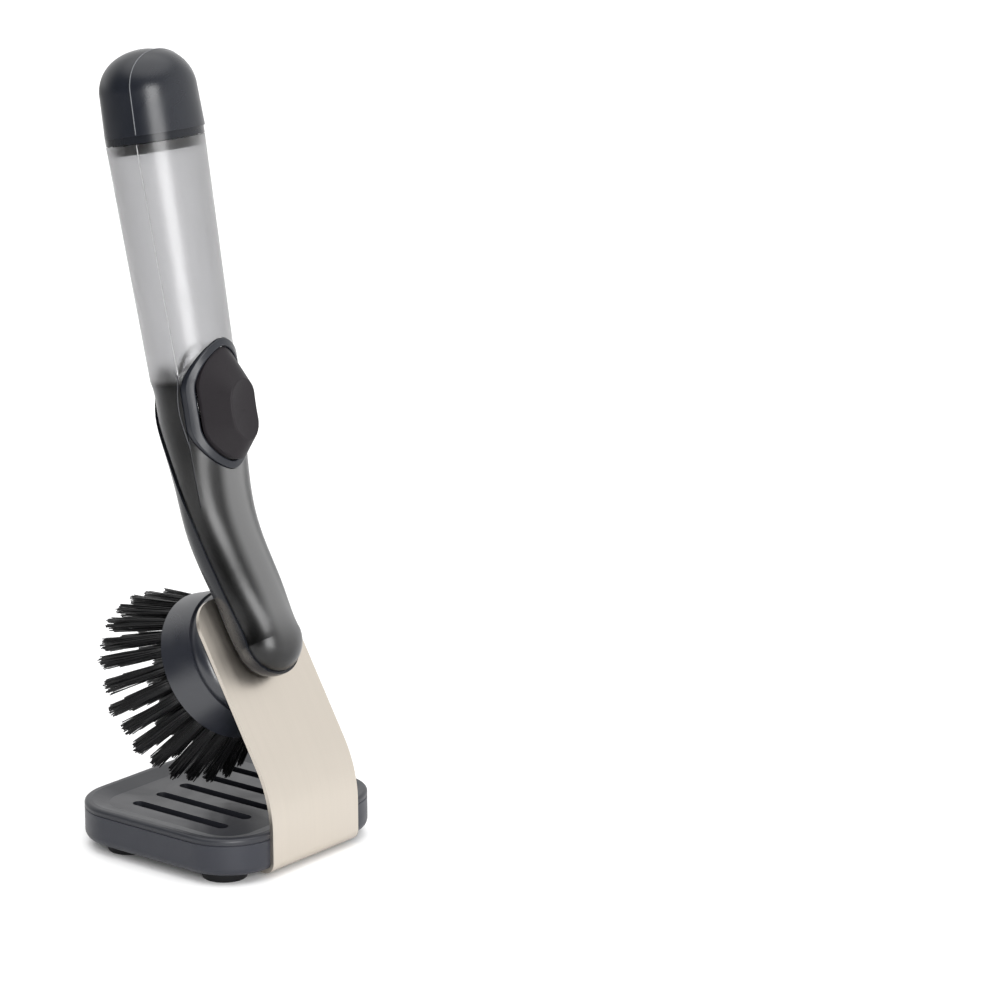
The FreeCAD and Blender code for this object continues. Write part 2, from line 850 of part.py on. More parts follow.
def make_handle():
    """The clear shell, the underside cover with its spigot, and the bezel: cut from one form."""
    outer = handle_form("outer_form", as_size(0))
    proud = handle_form("proud_form", -d.lip_proud)
    hollow = handle_form("hollow_form", d.shell_wall)
    low_zone = zone_below_lip("cover_zone", d.underside_gap)
    deep_zone = zone_below_lip("open_zone", -d.tube_end_at)
    window = bezel_prism("button_window", as_size(0), 0, 2 * d.tube_end_radius, button_in_brush)
    mouth = primitive("Cylinder", "shell_mouth", barrel_in_brush * at(0, 0, tube_end - d.shell_wall),
                      Radius=d.tube_end_radius - d.shell_wall, Height=2 * d.shell_wall)
    side = 2 * d.tube_end_radius
    slab = block("crease_slab", (-side, d.crease_from, d.crease_front - d.crease_width / 2),
                 (side, d.tube_end_at, d.crease_front + d.crease_width / 2))
    slab.Placement = grip_in_brush * slab.Placement
    crease = cut("crease", slab, handle_form("crease_form", d.crease_depth))
    shell = cut("handle_shell", outer, deep_zone, window, hollow, mouth, crease)
    node("handle_shell", shell, brush_frame)

    trough = block("cover_trough", (-d.tube_end_radius, -d.tube_end_at, d.underside_gap + d.shell_wall),
                   (d.tube_end_radius, d.tube_end_at, d.tube_end_at))
    room = common("cover_room", hollow, trough)
    skin = cut("cover_skin", common("cover_form", proud, low_zone), room)
    spigot = primitive("Cylinder", "spigot", at(0, 0, -d.spigot_end), Radius=d.spigot_radius,
                       Height=d.spigot_end + d.underside_gap + d.shell_wall)
    lugs = block("spigot_lugs", (-d.lug_radius, -d.lug_width / 2, -d.spigot_end),
                 (d.lug_radius, d.lug_width / 2, d.lug_height - d.spigot_end))
    bore = primitive("Cylinder", "spigot_way", at(0, 0, -2 * d.spigot_end), Radius=d.spigot_bore,
                     Height=4 * d.spigot_end)
    cover = cut("neck_cover", fuse("cover_with_spigot", skin, spigot, lugs), bore)
    node("neck_cover", cover, brush_frame)

    ring = cut("bezel_ring",
               bezel_prism("bezel_outside", d.bezel_gap, 0, 2 * d.tube_end_radius, button_in_brush),
               bezel_prism("bezel_inside", d.bezel_rim, 0, 2 * d.tube_end_radius, button_in_brush))
    plain = common("bezel_plain", cut("bezel_skin", proud, hollow), ring)
    bezel = rounded("button_bezel", plain, d.bezel_round, lambda edge: lies_on(edge, proud))
    node("button_bezel", bezel, brush_frame)


def make_valve_housing():
    """The dark core that fills the neck: button well, valve bore, inlet and duct way."""
    inset = d.shell_wall + d.core_gap
    form = handle_form("core_form", inset)
    floor = d.underside_gap + inset
    reach = d.tube_end_at
    above = block("core_zone", (-reach, -reach, floor), (reach, reach, reach))
    core = common("core_body", form, above)
    tail = block("core_tail", (-reach, d.core_end, -reach), (reach, 2 * reach, reach))
    tail.Placement = grip_in_brush * tail.Placement
    shelf = d.cup_floor_top - d.cup_floor - d.cup_fit
    well_end = d.button_at - d.bezel_half_length
    well = block("core_well", (-reach, well_end, shelf), (reach, 2 * reach, reach))
    well.Placement = grip_in_brush * well.Placement
    seat_bottom = d.seat_top - d.seat_height
    sleeve_end = d.sleeve_floor_top - d.sleeve_floor
    socket = primitive("Cylinder", "core_socket", button_in_brush * at(0, 0, sleeve_end),
                       Radius=d.sleeve_radius + d.cup_wall + d.cup_fit, Height=reach)
    seat_bore = primitive("Cylinder", "core_seat_bore", button_in_brush * at(0, 0, seat_bottom),
                          Radius=d.sleeve_radius + d.cup_fit, Height=reach)
    chamber = primitive("Cylinder", "core_chamber", button_in_brush * at(0, 0, d.outlet_floor),
                        Radius=d.outlet_radius, Height=reach)
    inlet_height = (sleeve_end + d.seat_top) / 2
    inlet = primitive("Cylinder", "core_inlet", button_in_brush * at(0, 0, inlet_height, turn_x(-90)),
                      Radius=d.inlet_radius, Height=reach)
    duct = primitive("Cylinder", "core_duct", duct_in_brush(), Radius=d.duct_outer_radius + d.duct_fit,
                     Height=duct_length())
    drop = primitive("Cylinder", "core_drop", at(0, 0, 0), Radius=d.spigot_bore,
                     Height=d.axis_height + d.duct_outer_radius)
    plain = cut("core_shaped", core, tail, well)
    to_grip = grip_in_brush.inverse()

    def is_end_edge(edge):
        ends = [to_grip.multVec(vertex.Point) for vertex in edge.Vertexes]
        middle = to_grip.multVec(edge.valueAt((edge.FirstParameter + edge.LastParameter) / 2))
        return all(near(point.y, d.core_end) for point in ends) and middle.z < shelf.value - TOUCH

    smooth = rounded("core_rounded", plain, d.core_end_round, is_end_edge)
    housing = cut("valve_housing", smooth, socket, seat_bore, chamber, inlet, duct, drop)
    return node("valve_housing", housing, brush_frame)


def duct_ends():
    """The soap duct's ends in the brush frame: in the outlet chamber's wall, over the spigot."""
    height = d.seat_top - d.seat_height - d.duct_outer_radius - d.duct_drop
    upper = button_in_brush.multVec(Vector(0, -d.outlet_radius.value, height.value))
    lower = Vector(0, 0, d.axis_height.value)
    return upper, lower


def duct_length():
    upper, lower = duct_ends()
    return (upper - lower).Length


def duct_in_brush():
    upper, lower = duct_ends()
    return Placement(lower, Rotation(Vector(0, 0, 1), upper - lower))


def make_outlet_tube():
    """The thin pipe that carries soap down the neck to the spigot."""
    start = d.spigot_bore + d.duct_fit
    length = duct_length() - start
    frame = duct_in_brush() * at(0, 0, start)
    outside = primitive("Cylinder", "duct_outside", frame, Radius=d.duct_outer_radius, Height=length)
    bore = primitive("Cylinder", "duct_bore", frame * at(0, 0, -length), Radius=d.duct_bore_radius,
                     Height=3 * length)
    return node("outlet_tube", cut("outlet_tube", outside, bore), brush_frame)


# Button and valve, in the button's own frame: Z outwards, Y along the tube to the cap

def make_button_cup():
    """The well under the pad, with the sleeve that holds the spring."""
    bottom = d.cup_floor_top - d.cup_floor
    top = 2 * d.tube_end_radius
    outside = bezel_prism("cup_outside", d.bezel_rim - d.cup_wall, bottom, top, Placement())
    inside = bezel_prism("cup_inside", d.bezel_rim, d.cup_floor_top, top, Placement())
    low = d.sleeve_floor_top - d.sleeve_floor
    sleeve = primitive("Cylinder", "cup_sleeve", at(0, 0, low), Radius=d.sleeve_radius + d.cup_wall,
                       Height=d.cup_floor_top - low)
    pocket = primitive("Cylinder", "cup_pocket", at(0, 0, d.sleeve_floor_top), Radius=d.sleeve_radius,
                       Height=2 * d.cup_floor_top - d.sleeve_floor_top)
    hole = primitive("Cylinder", "cup_hole", at(0, 0, 2 * low), Radius=d.stem_radius + d.stem_fit,
                     Height=d.cup_floor_top - 2 * low)
    rim_form = handle_form("cup_rim_form", d.shell_wall + d.core_gap)
    inner = common("cup_trimmed", rim_form, moved("cup_body", fuse("cup_blank", outside, sleeve)))
    holes = moved("cup_holes", fuse("cup_cuts", inside, pocket, hole))
    return node("button_cup", cut("button_cup", inner, holes), brush_frame)


def moved(name, feature):
    """A shape of the button's own frame, carried into the brush frame."""
    carrier = group(name, [feature])
    carrier.Placement = button_in_brush
    return carrier


def make_button_pad():
    """The faceted thumb pad: an oval foot, sloping sides and a dished top."""
    margin = d.bezel_rim + d.pad_gap
    foot = bezel_prism("pad_foot", margin, d.pad_bottom, d.pad_shoulder, Placement())
    low = hull_sketch("pad_low", at(0, 0, d.pad_shoulder), d.bezel_half_length - margin + d.pad_tip_run,
                      d.bezel_half_width - margin, d.bezel_tip - margin, d.bezel_straight_low,
                      d.bezel_straight_high)
    high = hull_sketch("pad_high", at(0, -d.pad_top_shift, d.pad_top), d.pad_top_half_length,
                       d.pad_top_half_width, d.pad_top_tip, d.pad_top_straight, d.pad_top_straight)
    sides = doc.addObject("Part::Loft", "pad_sides")
    sides.Sections = [low, high]
    sides.Solid = True
    sides.Ruled = True
    dish = primitive("Sphere", "pad_dish",
                     at(0, -d.pad_top_shift, d.pad_top + d.dish_radius - d.dish_depth), Radius=d.dish_radius)
    outline = bezel_prism("pad_outline", margin, d.pad_bottom, d.pad_top, Placement())
    blank = cut("pad_dished", fuse("pad_blank", foot, common("pad_trimmed", sides, outline)), dish)
    rim = d.pad_top - d.dish_depth
    pad = rounded("button_pad", blank, d.pad_edge,
                  lambda edge: all(vertex.Point.z > rim.value for vertex in edge.Vertexes))
    return node("button_pad", pad, button_frame)


def make_button_plunger():
    """The stem that carries the pad and opens the valve."""
    flange_bottom = d.pad_bottom - d.flange_height
    poppet_top = d.seat_top - d.seat_height - d.poppet_gap
    poppet_bottom = poppet_top - d.poppet_height
    body = turned("button_plunger", [
        (as_size(0), d.pad_bottom),
        (as_size(0), poppet_bottom),
        (d.poppet_radius, poppet_bottom),
        (d.poppet_radius, poppet_top),
        (d.stem_radius, poppet_top),
        (d.stem_radius, flange_bottom),
        (d.flange_radius, flange_bottom),
        (d.flange_radius, d.pad_bottom),
    ])
    return node("button_plunger", body, button_frame)


def make_stem_seal():
    """The ring that wipes the stem under the sleeve's floor."""
    low = d.sleeve_floor_top - d.sleeve_floor
    ring = primitive("Torus", "stem_seal", Radius1=d.stem_radius + d.stem_fit + d.seal_wire,
                     Radius2=d.seal_wire)
    return node("stem_seal", ring, button_frame * at(0, 0, low - d.seal_wire))


def make_valve_seat():
    """The ring that the poppet closes against."""
    bottom = d.seat_top - d.seat_height
    body = turned("valve_seat", [
        (d.seat_bore, d.seat_top),
        (d.seat_bore, bottom),
        (d.sleeve_radius, bottom),
        (d.sleeve_radius, d.seat_top),
    ])
    return node("valve_seat", body, button_frame)


def helix_point(radius, pitch, angle):
    """A point of a helix about Z and the direction along it."""
    climb = pitch / (2 * math.pi)
    place = Vector(radius * math.cos(angle), radius * math.sin(angle), climb * angle)
    along = Vector(-radius * math.sin(angle), radius * math.cos(angle), climb)
    return place, along.normalize()


def arc_in_corner(start, corner, end):
    """The arc that touches both sides of a corner at equal distances from it."""
    middle = (start + end) * 0.5
    half = (end - start).Length / 2
    outwards = corner - middle
    bulge = half * math.tan(math.atan2(outwards.Length, half) / 2)
    return Part.Arc(start, middle + outwards.normalize() * bulge, end).toShape()


def biarc(first, first_along, last, last_along):
    """Two tangent arcs between two points with given directions."""
    gap = last - first
    sum_along = first_along + last_along
    square = sum_along.dot(sum_along) - 4
    linear = -2 * gap.dot(sum_along)
    reach = (-linear - math.sqrt(linear * linear - 4 * square * gap.dot(gap))) / (2 * square)
    corner = first + first_along * reach
    other = last - last_along * reach
    join = (corner + other) * 0.5
    return [arc_in_corner(first, corner, join), arc_in_corner(join, other, last)]


QUARTERS = 4


def make_button_spring():
    """The return spring between the sleeve's floor and the plunger's flange."""
    wire = d.spring_wire.value / 2
    bottom = d.sleeve_floor_top.value + wire
    height = d.pad_bottom.value - d.flange_height.value - wire - bottom
    turns = DIMENSIONS["spring_turns"]
    pitch = height / turns
    radius = d.spring_radius.value
    marks = [helix_point(radius, pitch, 2 * math.pi * step / QUARTERS)
             for step in range(turns * QUARTERS + 1)]
    edges = []
    for (first, first_along), (last, last_along) in zip(marks, marks[1:]):
        edges += biarc(first, first_along, last, last_along)
    start, along = marks[0]
    section = Part.Wire([Part.makeCircle(wire, start, along)])
    spring = doc.addObject("Part::Feature", "button_spring")
    spring.Shape = Part.Wire(edges).makePipeShell([section], True, False)
    print(f"spring: least gap between turns {pitch - 2 * wire:.2f} mm at rest,",
          f"{pitch - d.button_travel.value / turns - 2 * wire:.2f} mm pressed")
    return node("button_spring", spring, button_frame * at(0, 0, bottom))


# Fill cap, in the tube's own frame: Z along the tube to the cap

def dome(name, grow, low, bottom_radius, top_radius, side, hollow):
    """A tapered side, a round shoulder and a flatter crown, as one turned solid."""
    high = low + side
    shoulder = d.cap_shoulder + grow
    crown = d.cap_crown + grow
    reach = root((crown - shoulder) * (crown - shoulder) - (top_radius - shoulder) * (top_radius - shoulder))
    apex = high + crown - reach
    share = crown / (crown - shoulder)
    join_radius = (top_radius - shoulder) * share
    join_height = apex - crown + reach * share
    corners = [
        (as_size(0), low),
        (bottom_radius, low),
        (top_radius, high),
        (join_radius, join_height, shoulder),
        (as_size(0), apex, crown),
    ]
    if hollow:
        inner = d.plug_radius - d.plug_wall
        corners[0] = (as_size(0), high)
        corners.insert(1, (inner, high))
        corners.insert(2, (inner, low))
    return turned(name, corners)


def make_fill_cap():
    """The domed cap, whose front stands a little proud of its back along a side ledge."""
    low = tube_end + d.ring_gap + d.ring_height
    back = dome("cap_back", as_size(0), low, d.tube_end_radius, d.cap_top_radius, d.cap_side, True)
    front = dome("cap_front", d.cap_ledge, low, d.tube_end_radius + d.cap_ledge,
                 d.cap_top_radius + d.cap_ledge, d.cap_side, True)
    reach = 2 * d.tube_end_radius
    half = block("cap_front_half", (-reach, -reach, as_size(0)),
                 (reach, -d.cap_ledge_front, 2 * d.tube_end_at))
    plain = common("cap_front_part", front, half)

    def is_ledge_edge(edge):
        middle = edge.valueAt((edge.FirstParameter + edge.LastParameter) / 2)
        on_ledge = all(near(vertex.Point.y, -d.cap_ledge_front) for vertex in edge.Vertexes)
        outside = math.hypot(middle.x, middle.y) > d.plug_radius.value
        above = middle.z > (low + d.cap_side).value + TOUCH
        return on_ledge and middle.z > low.value + TOUCH and (outside or above)

    eased = rounded("cap_front_eased", plain, d.cap_ledge_round, is_ledge_edge)
    cap = fuse("fill_cap", back, eased)
    return node("fill_cap", cap, barrel_frame)


def make_cap_plug():
    """The ring under the cap and the hollow plug that enters the tube."""
    low = tube_end + d.ring_gap
    ring_top = low + d.ring_height
    inner = d.plug_radius - d.plug_wall
    groove = d.plug_seal_wire
    seal = tube_end - d.plug_seal_depth
    body = turned("cap_plug", [
        (as_size(0), ring_top),
        (as_size(0), ring_top - d.plug_wall),
        (inner, ring_top - d.plug_wall),
        (inner, tube_end - d.plug_depth),
        (d.plug_radius, tube_end - d.plug_depth),
        (d.plug_radius, seal - groove),
        (d.plug_radius - groove, seal - groove),
        (d.plug_radius - groove, seal + groove),
        (d.plug_radius, seal + groove),
        (d.plug_radius, low),
        (d.tube_end_radius, low),
        (d.tube_end_radius, ring_top),
    ])
    return node("cap_plug", body, barrel_frame)


def make_cap_seal():
    """The rubber ring in the plug's groove."""
    ring = primitive("Torus", "cap_seal", Radius1=d.plug_radius, Radius2=d.plug_seal_wire)
    return node("cap_seal", ring, barrel_frame * at(0, 0, tube_end - d.plug_seal_depth))


# Brush head, in the brush frame, hanging below the strip's front face

def make_head_cover():
    """The round top with its hub, keyways and twist tab."""
    bore = d.spigot_radius + d.spigot_fit
    inner = d.cover_radius - d.cover_wall
    side_low = d.head_seam
    blank = turned("cover_blank", [
        (bore, -d.head_top),
        (bore, -d.hub_end),
        (bore + d.hub_wall, -d.hub_end),
        (bore + d.hub_wall, -(d.head_top + d.cover_wall)),
        (d.cover_radius - d.cover_shoulder, -(d.head_top + d.cover_wall)),
        (inner, -(d.head_top + d.cover_shoulder), -(d.cover_shoulder - d.cover_wall)),
        (inner, -side_low),
        (d.cover_radius, -side_low),
        (d.cover_radius, -(d.head_top + d.cover_shoulder)),
        (d.cover_radius - d.cover_shoulder, -d.head_top, d.cover_shoulder),
    ])
    angle = math.radians(d.tab_angle.value)
    reach = d.tab_reach.value
    tab = primitive("Cylinder", "twist_tab",
                    at(reach * math.cos(angle), reach * math.sin(angle), -side_low),
                    Radius=d.tab_radius, Height=d.head_seam - d.tab_top)
    inside = primitive("Cylinder", "cover_inside", at(0, 0, -side_low), Radius=d.cover_radius - d.cover_wall,
                       Height=d.head_seam - d.head_top - d.cover_shoulder)
    length = d.lug_radius + d.lug_gap
    keyways = block("keyways", (-length, -(d.lug_width / 2 + d.lug_gap), -d.hub_end),
                    (length, d.lug_width / 2 + d.lug_gap, -d.head_top - d.cover_wall))
    keyways.Placement = at(0, 0, 0, turn_z(d.twist)) * keyways.Placement
    cover = cut("head_cover", fuse("cover_with_tab", blank, cut("tab_outside", tab, inside)), keyways)
    return node("head_cover", cover, brush_frame)


def make_head_collar():
    """The flared collar round the bristles, with a ledge that carries the tuft plate."""
    top = d.head_seam + d.collar_gap
    slope = (d.collar_rim_radius - d.collar_top_radius) / (d.head_rim - top)

    def flare(depth):
        return d.collar_top_radius + slope * (depth - top)

    body = turned("head_collar", [
        (d.collar_top_radius - 2 * d.collar_wall, -top),
        (d.collar_top_radius - 2 * d.collar_wall, -d.plate_top),
        (flare(d.plate_top) - d.collar_wall, -d.plate_top),
        (flare(d.head_rim) - d.collar_wall, -d.head_rim),
        (d.collar_rim_radius, -d.head_rim),
        (d.collar_top_radius, -top),
    ])
    return node("head_collar", body, brush_frame)


def make_tuft_plate():
    """The plate that holds the tufts, with a hole for the soap valve."""
    top = d.head_seam + d.collar_gap
    slope = (d.collar_rim_radius - d.collar_top_radius) / (d.head_rim - top)
    edge = d.collar_top_radius + slope * (d.plate_top - top) - d.collar_wall - d.plate_fit
    hole = d.valve_radius + d.plate_fit
    body = turned("tuft_plate", [
        (hole, -d.plate_top),
        (hole, -d.plate_bottom),
        (edge, -d.plate_bottom),
        (edge, -d.plate_top),
    ])
    return node("tuft_plate", body, brush_frame)


def make_outlet_valve():
    """The soft slit valve in the middle of the plate."""
    body = turned("outlet_valve", [
        (as_size(0), -(d.plate_top + d.valve_slit)),
        (as_size(0), -(d.head_rim - d.valve_slit)),
        (d.valve_slit, -d.head_rim),
        (d.valve_radius, -d.plate_bottom),
        (d.valve_radius, -d.plate_top),
        (d.valve_flange_radius, -d.plate_top),
        (d.valve_flange_radius, -(d.plate_top - d.valve_flange_height)),
        (d.spigot_bore, -(d.plate_top - d.valve_flange_height)),
    ])
    return node("outlet_valve", body, brush_frame)


def make_tuft_ring(name, count, root_circle, tip_circle):
    """One ring of tufts, each a slanted bundle that widens to its tip."""
    body = new_body(name)
    body.AllowCompound = True
    ends = []
    for depth, circle, radius in ((d.plate_bottom, root_circle, d.tuft_root_radius),
                                  (d.tuft_end, tip_circle, d.tuft_tip_radius)):
        sketch = new_sketch(body, "XY_Plane", at(0, 0, -depth))
        sides = DIMENSIONS["tuft_sides"]
        draw(sketch, [(circle + radius * math.cos(2 * math.pi * step / sides),
                       radius * math.sin(2 * math.pi * step / sides)) for step in range(sides)])
        ends.append(sketch)
    tuft = body.newObject("PartDesign::AdditiveLoft", name + "_tuft")
    tuft.Profile = ends[0]
    tuft.Sections = [ends[1]]
    tuft.Ruled = True
    ring = body.newObject("PartDesign::PolarPattern", name + "_ring")
    ring.Originals = [tuft]
    ring.Axis = (ends[0], ["N_Axis"])
    bind(ring, Angle=360)
    ring.Occurrences = int(count.value)
    ring.setExpression("Occurrences", count.formula)
    body.Tip = ring
    return node(name, body, brush_frame)


def make_head():
    make_head_cover()
    make_head_collar()
    make_tuft_plate()
    make_outlet_valve()
    make_tuft_ring("bristles_outer", d.outer_count, d.outer_root, d.outer_tip)
    make_tuft_ring("bristles_middle", d.middle_count, d.middle_root, d.middle_tip)
    make_tuft_ring("bristles_inner", d.inner_count, d.inner_root, d.inner_tip)
    make_tuft_ring("bristles_centre", d.centre_count, d.centre_root, d.centre_tip)


def make_all():
    make_base_shell()
    make_drip_tray()
    make_rubber_feet()
    make_steel_bracket()
    make_bracket_screws()
    make_handle()
    make_valve_housing()
    make_outlet_tube()
    make_button_cup()
    make_button_pad()
    make_button_plunger()
    make_stem_seal()
    make_valve_seat()
    make_button_spring()
    make_fill_cap()
    make_cap_plug()
    make_cap_seal()
    make_head()
    doc.recompute()


def check_all():
    """Stop before writing if anything failed."""
    for item in doc.Objects:
        if "Invalid" in item.State or "Error" in item.State:
            raise RuntimeError(f"{item.Name} did not recompute: {item.State}")
    for item in NODES:
        if item.Shape.isNull() or not item.Shape.isValid() or not item.Shape.Solids:
            raise RuntimeError(f"{item.Label} has no valid solid")


def centre_on_footprint():
    """Move every sub-part so that the origin is under the middle of the whole object's box."""
    box = FreeCAD.BoundBox()
    for item in NODES:
        box.add(item.Shape.optimalBoundingBox(False, False))
    shift = at(0, -(box.YMin + box.YMax) / 2, 0)
    for item in NODES:
        item.Placement = shift * item.Placement
    return shift


def write_all():
    os.makedirs("parts", exist_ok=True)
    for item in NODES:
        item.Shape.exportStep(f"parts/{item.Label}.step")


make_all()
check_all()
shift = centre_on_footprint()
write_all()
for item in NODES:
    box = item.Shape.optimalBoundingBox(False, False)
    print(f"{item.Label}: {len(item.Shape.Solids)} solids, {item.Shape.Volume:.0f} mm3,",
          f"{box.XLength:.1f} x {box.YLength:.1f} x {box.ZLength:.1f} mm")
print(f"moved back by {shift.Base.y:.3f} mm")
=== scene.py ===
"""Looks of the dish wand in its drainer stand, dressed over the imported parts."""

import logging
import math
from dataclasses import dataclass, field
from enum import Enum

import bmesh
import bpy
from mathutils import Matrix, Vector
from mathutils.bvhtree import BVHTree


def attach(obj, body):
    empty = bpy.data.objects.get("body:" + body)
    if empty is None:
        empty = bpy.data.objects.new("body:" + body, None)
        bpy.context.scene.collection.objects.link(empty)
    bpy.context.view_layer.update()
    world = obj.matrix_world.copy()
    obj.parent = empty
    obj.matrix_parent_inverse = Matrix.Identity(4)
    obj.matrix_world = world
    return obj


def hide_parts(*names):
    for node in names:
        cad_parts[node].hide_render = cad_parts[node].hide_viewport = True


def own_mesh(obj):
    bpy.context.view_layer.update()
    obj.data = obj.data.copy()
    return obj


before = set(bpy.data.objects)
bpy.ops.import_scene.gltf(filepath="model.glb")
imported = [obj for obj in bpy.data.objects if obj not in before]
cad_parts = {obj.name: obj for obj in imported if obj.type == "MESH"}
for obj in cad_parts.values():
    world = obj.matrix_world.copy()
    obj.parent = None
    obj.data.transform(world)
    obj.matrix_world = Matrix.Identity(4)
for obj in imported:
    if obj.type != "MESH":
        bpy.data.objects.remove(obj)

log = logging.getLogger("dish_wand")
Triple = tuple[float, float, float]
MM = 0.001

# The tube: the foot of its axis in millimetres, the way up the axis, out through the button and across.
TUBE_FOOT = Vector((0.0, 0.103, 116.79))
TUBE_UP = Vector((0.0, 0.18738, 0.98229))
TUBE_OUT = Vector((0.0, -0.98229, 0.18738))
TUBE_ACROSS = Vector((1.0, 0.0, 0.0))

# Level directions in the photograph: away from the camera, and to its right.
AWAY = (0.787, 0.617, 0.0)
RIGHT = (0.617, -0.787, 0.0)

# Where most of a noise texture's values lie.
NOISE_LOW = 0.3
NOISE_HIGH = 0.7


def stood(name: str, data: bpy.types.ID) -> bpy.types.Object:
    """Put a new object in the scene.

    Args:
        name: The object's name.
        data: Its mesh, light or camera.

    Returns:
        The object.
    """
    made = bpy.data.objects.new(name, data)
    bpy.context.scene.collection.objects.link(made)
    return made


class Body(Enum):
    """The bodies that the scene's own pieces ride on."""

    WAND = "wand"
    CAP = "cap"
    HEAD = "head"


class Flow(Enum):
    """How closely a brushed surface's lines lie along x, y and z."""

    ALONG_STRIP = (2600.0, 26.0, 26.0)
    ROUND_WIRE = (900.0, 900.0, 60.0)


class Draw(Enum):
    """The random values of a ring of tufts, each added to the ring's seed."""

    REACH = 1
    BEARING = 2
    TUFT_OUT = 3
    OUT = 4
    TUFT_SIDE = 5
    SIDE = 6
    TUFT_SHORT = 7
    SHORT = 8
    BOW_X = 9
    BOW_Y = 10
    BOW_Z = 11


class Ends(Enum):
    """How a stretched range is left and reached."""

    STRAIGHT = "LINEAR"
    SOFT = "SMOOTHSTEP"


class NodeSheet:
    """Adds nodes to one tree and joins their sockets."""

    MIX_COLOURS = (6, 7)
    MIX_RESULT = 2

    def __init__(self, tree: bpy.types.NodeTree) -> None:
        """Keep the tree that nodes are added to.

        Args:
            tree: A shader or geometry node tree.
        """
        self.tree = tree

    def add(self, kind: str, **settings: object) -> bpy.types.Node:
        """Add a node.

        Args:
            kind: The node's type name.
            settings: Node properties to set.

        Returns:
            The new node.
        """
        made = self.tree.nodes.new(kind)
        for name, value in settings.items():
            setattr(made, name, value)
        return made

    def feed(self, node: bpy.types.Node, **sources: object) -> bpy.types.Node:
        """Set or link a node's inputs, named with _ for a space.

        Args:
            node: The node whose inputs are fed.
            sources: A socket to link from, or a plain value to set.

        Returns:
            The same node.
        """
        for name, source in sources.items():
            socket = self.input_of(node, name)
            if isinstance(source, bpy.types.NodeSocket):
                self.tree.links.new(source, socket)
            else:
                socket.default_value = source
        return node

    @staticmethod
    def input_of(node: bpy.types.Node, name: str) -> bpy.types.NodeSocket:
        """Find the enabled input socket with a name or number.

        Args:
            node: The node to look in.
            name: The socket's name with _ for a space, or in0, in1 and so on.

        Returns:
            The socket.
        """
        if name.startswith("in") and name[2:].isdigit():
            return node.inputs[int(name[2:])]
        wanted = name.replace("_", " ")
        for socket in node.inputs:
            if socket.name == wanted and socket.enabled:
                return socket
        raise KeyError(f"{node.bl_idname} has no input {wanted}")

    def maths(self, operation: str, first: object, second: object = 0.0) -> bpy.types.NodeSocket:
        """Work out one value from one or two.

        Args:
            operation: The operation's name, such as DIVIDE.
            first: A socket or a number.
            second: A socket or a number.

        Returns:
            The result's socket.
        """
        node = self.add("ShaderNodeMath", operation=operation)
        return self.feed(node, in0=first, in1=second).outputs[0]

    def times(self, first: object, second: object) -> bpy.types.NodeSocket:
        """Multiply two values.

        Args:
            first: A socket or a number.
            second: A socket or a number.

        Returns:
            The product's socket.
        """
        return self.maths("MULTIPLY", first, second)

    def arrow(self, operation: str, first: object, **others: object) -> bpy.types.NodeSocket:
        """Work out a vector, or a value for DOT_PRODUCT and LENGTH, from one or two vectors.

        Args:
            operation: The operation's name, such as SUBTRACT.
            first: A socket or a vector.
            others: The second vector as in1 or, for SCALE, a number as Scale.

        Returns:
            The result's socket.
        """
        node = self.add("ShaderNodeVectorMath", operation=operation)
        self.feed(node, in0=first, **others)
        return node.outputs["Value" if operation in ("DOT_PRODUCT", "LENGTH") else "Vector"]

    def point(self, x: object, y: object, z: object) -> bpy.types.NodeSocket:
        """Join three values into a vector.

        Args:
            x: A socket or a number.
            y: A socket or a number.
            z: A socket or a number.

        Returns:
            The vector's socket.
        """
        return self.feed(self.add("ShaderNodeCombineXYZ"), X=x, Y=y, Z=z).outputs[0]

    def noise(self, place: bpy.types.NodeSocket, **settings: object) -> bpy.types.NodeSocket:
        """Add a noise texture.

        Args:
            place: The position that it is read at.
            settings: Its other inputs.

        Returns:
            The noise value's socket.
        """
        return self.feed(self.add("ShaderNodeTexNoise"), Vector=place, **settings).outputs[0]

    def mixed(self, mask: bpy.types.NodeSocket, first: object, second: object) -> bpy.types.NodeSocket:
        """Mix two colours by a mask.

        Args:
            mask: A value from 0, the first colour, to 1, the second.
            first: A colour or its socket.
            second: A colour or its socket.

        Returns:
            The mixed colour's socket.
        """
        node = self.add("ShaderNodeMix", data_type="RGBA")
        self.tree.links.new(mask, node.inputs["Factor"])
        for number, colour in zip(self.MIX_COLOURS, (first, second)):
            if isinstance(colour, bpy.types.NodeSocket):
                self.tree.links.new(colour, node.inputs[number])
            else:
                node.inputs[number].default_value = (*colour, 1.0)
        return node.outputs[self.MIX_RESULT]

    def spread(self, source: bpy.types.NodeSocket, low: float, high: float, to_low: float = 0.0,
               to_high: float = 1.0, ends: Ends = Ends.STRAIGHT) -> bpy.types.NodeSocket:
        """Stretch a value's range on to another range.

        Args:
            source: The value's socket.
            low: The value that becomes to_low.
            high: The value that becomes to_high.
            to_low: The new low end.
            to_high: The new high end.
            ends: How the new range is left and reached.

        Returns:
            The stretched value's socket.
        """
        node = self.add("ShaderNodeMapRange", interpolation_type=ends.value)
        self.feed(node, Value=source, From_Min=low, From_Max=high, To_Min=to_low, To_Max=to_high)
        return node.outputs[0]


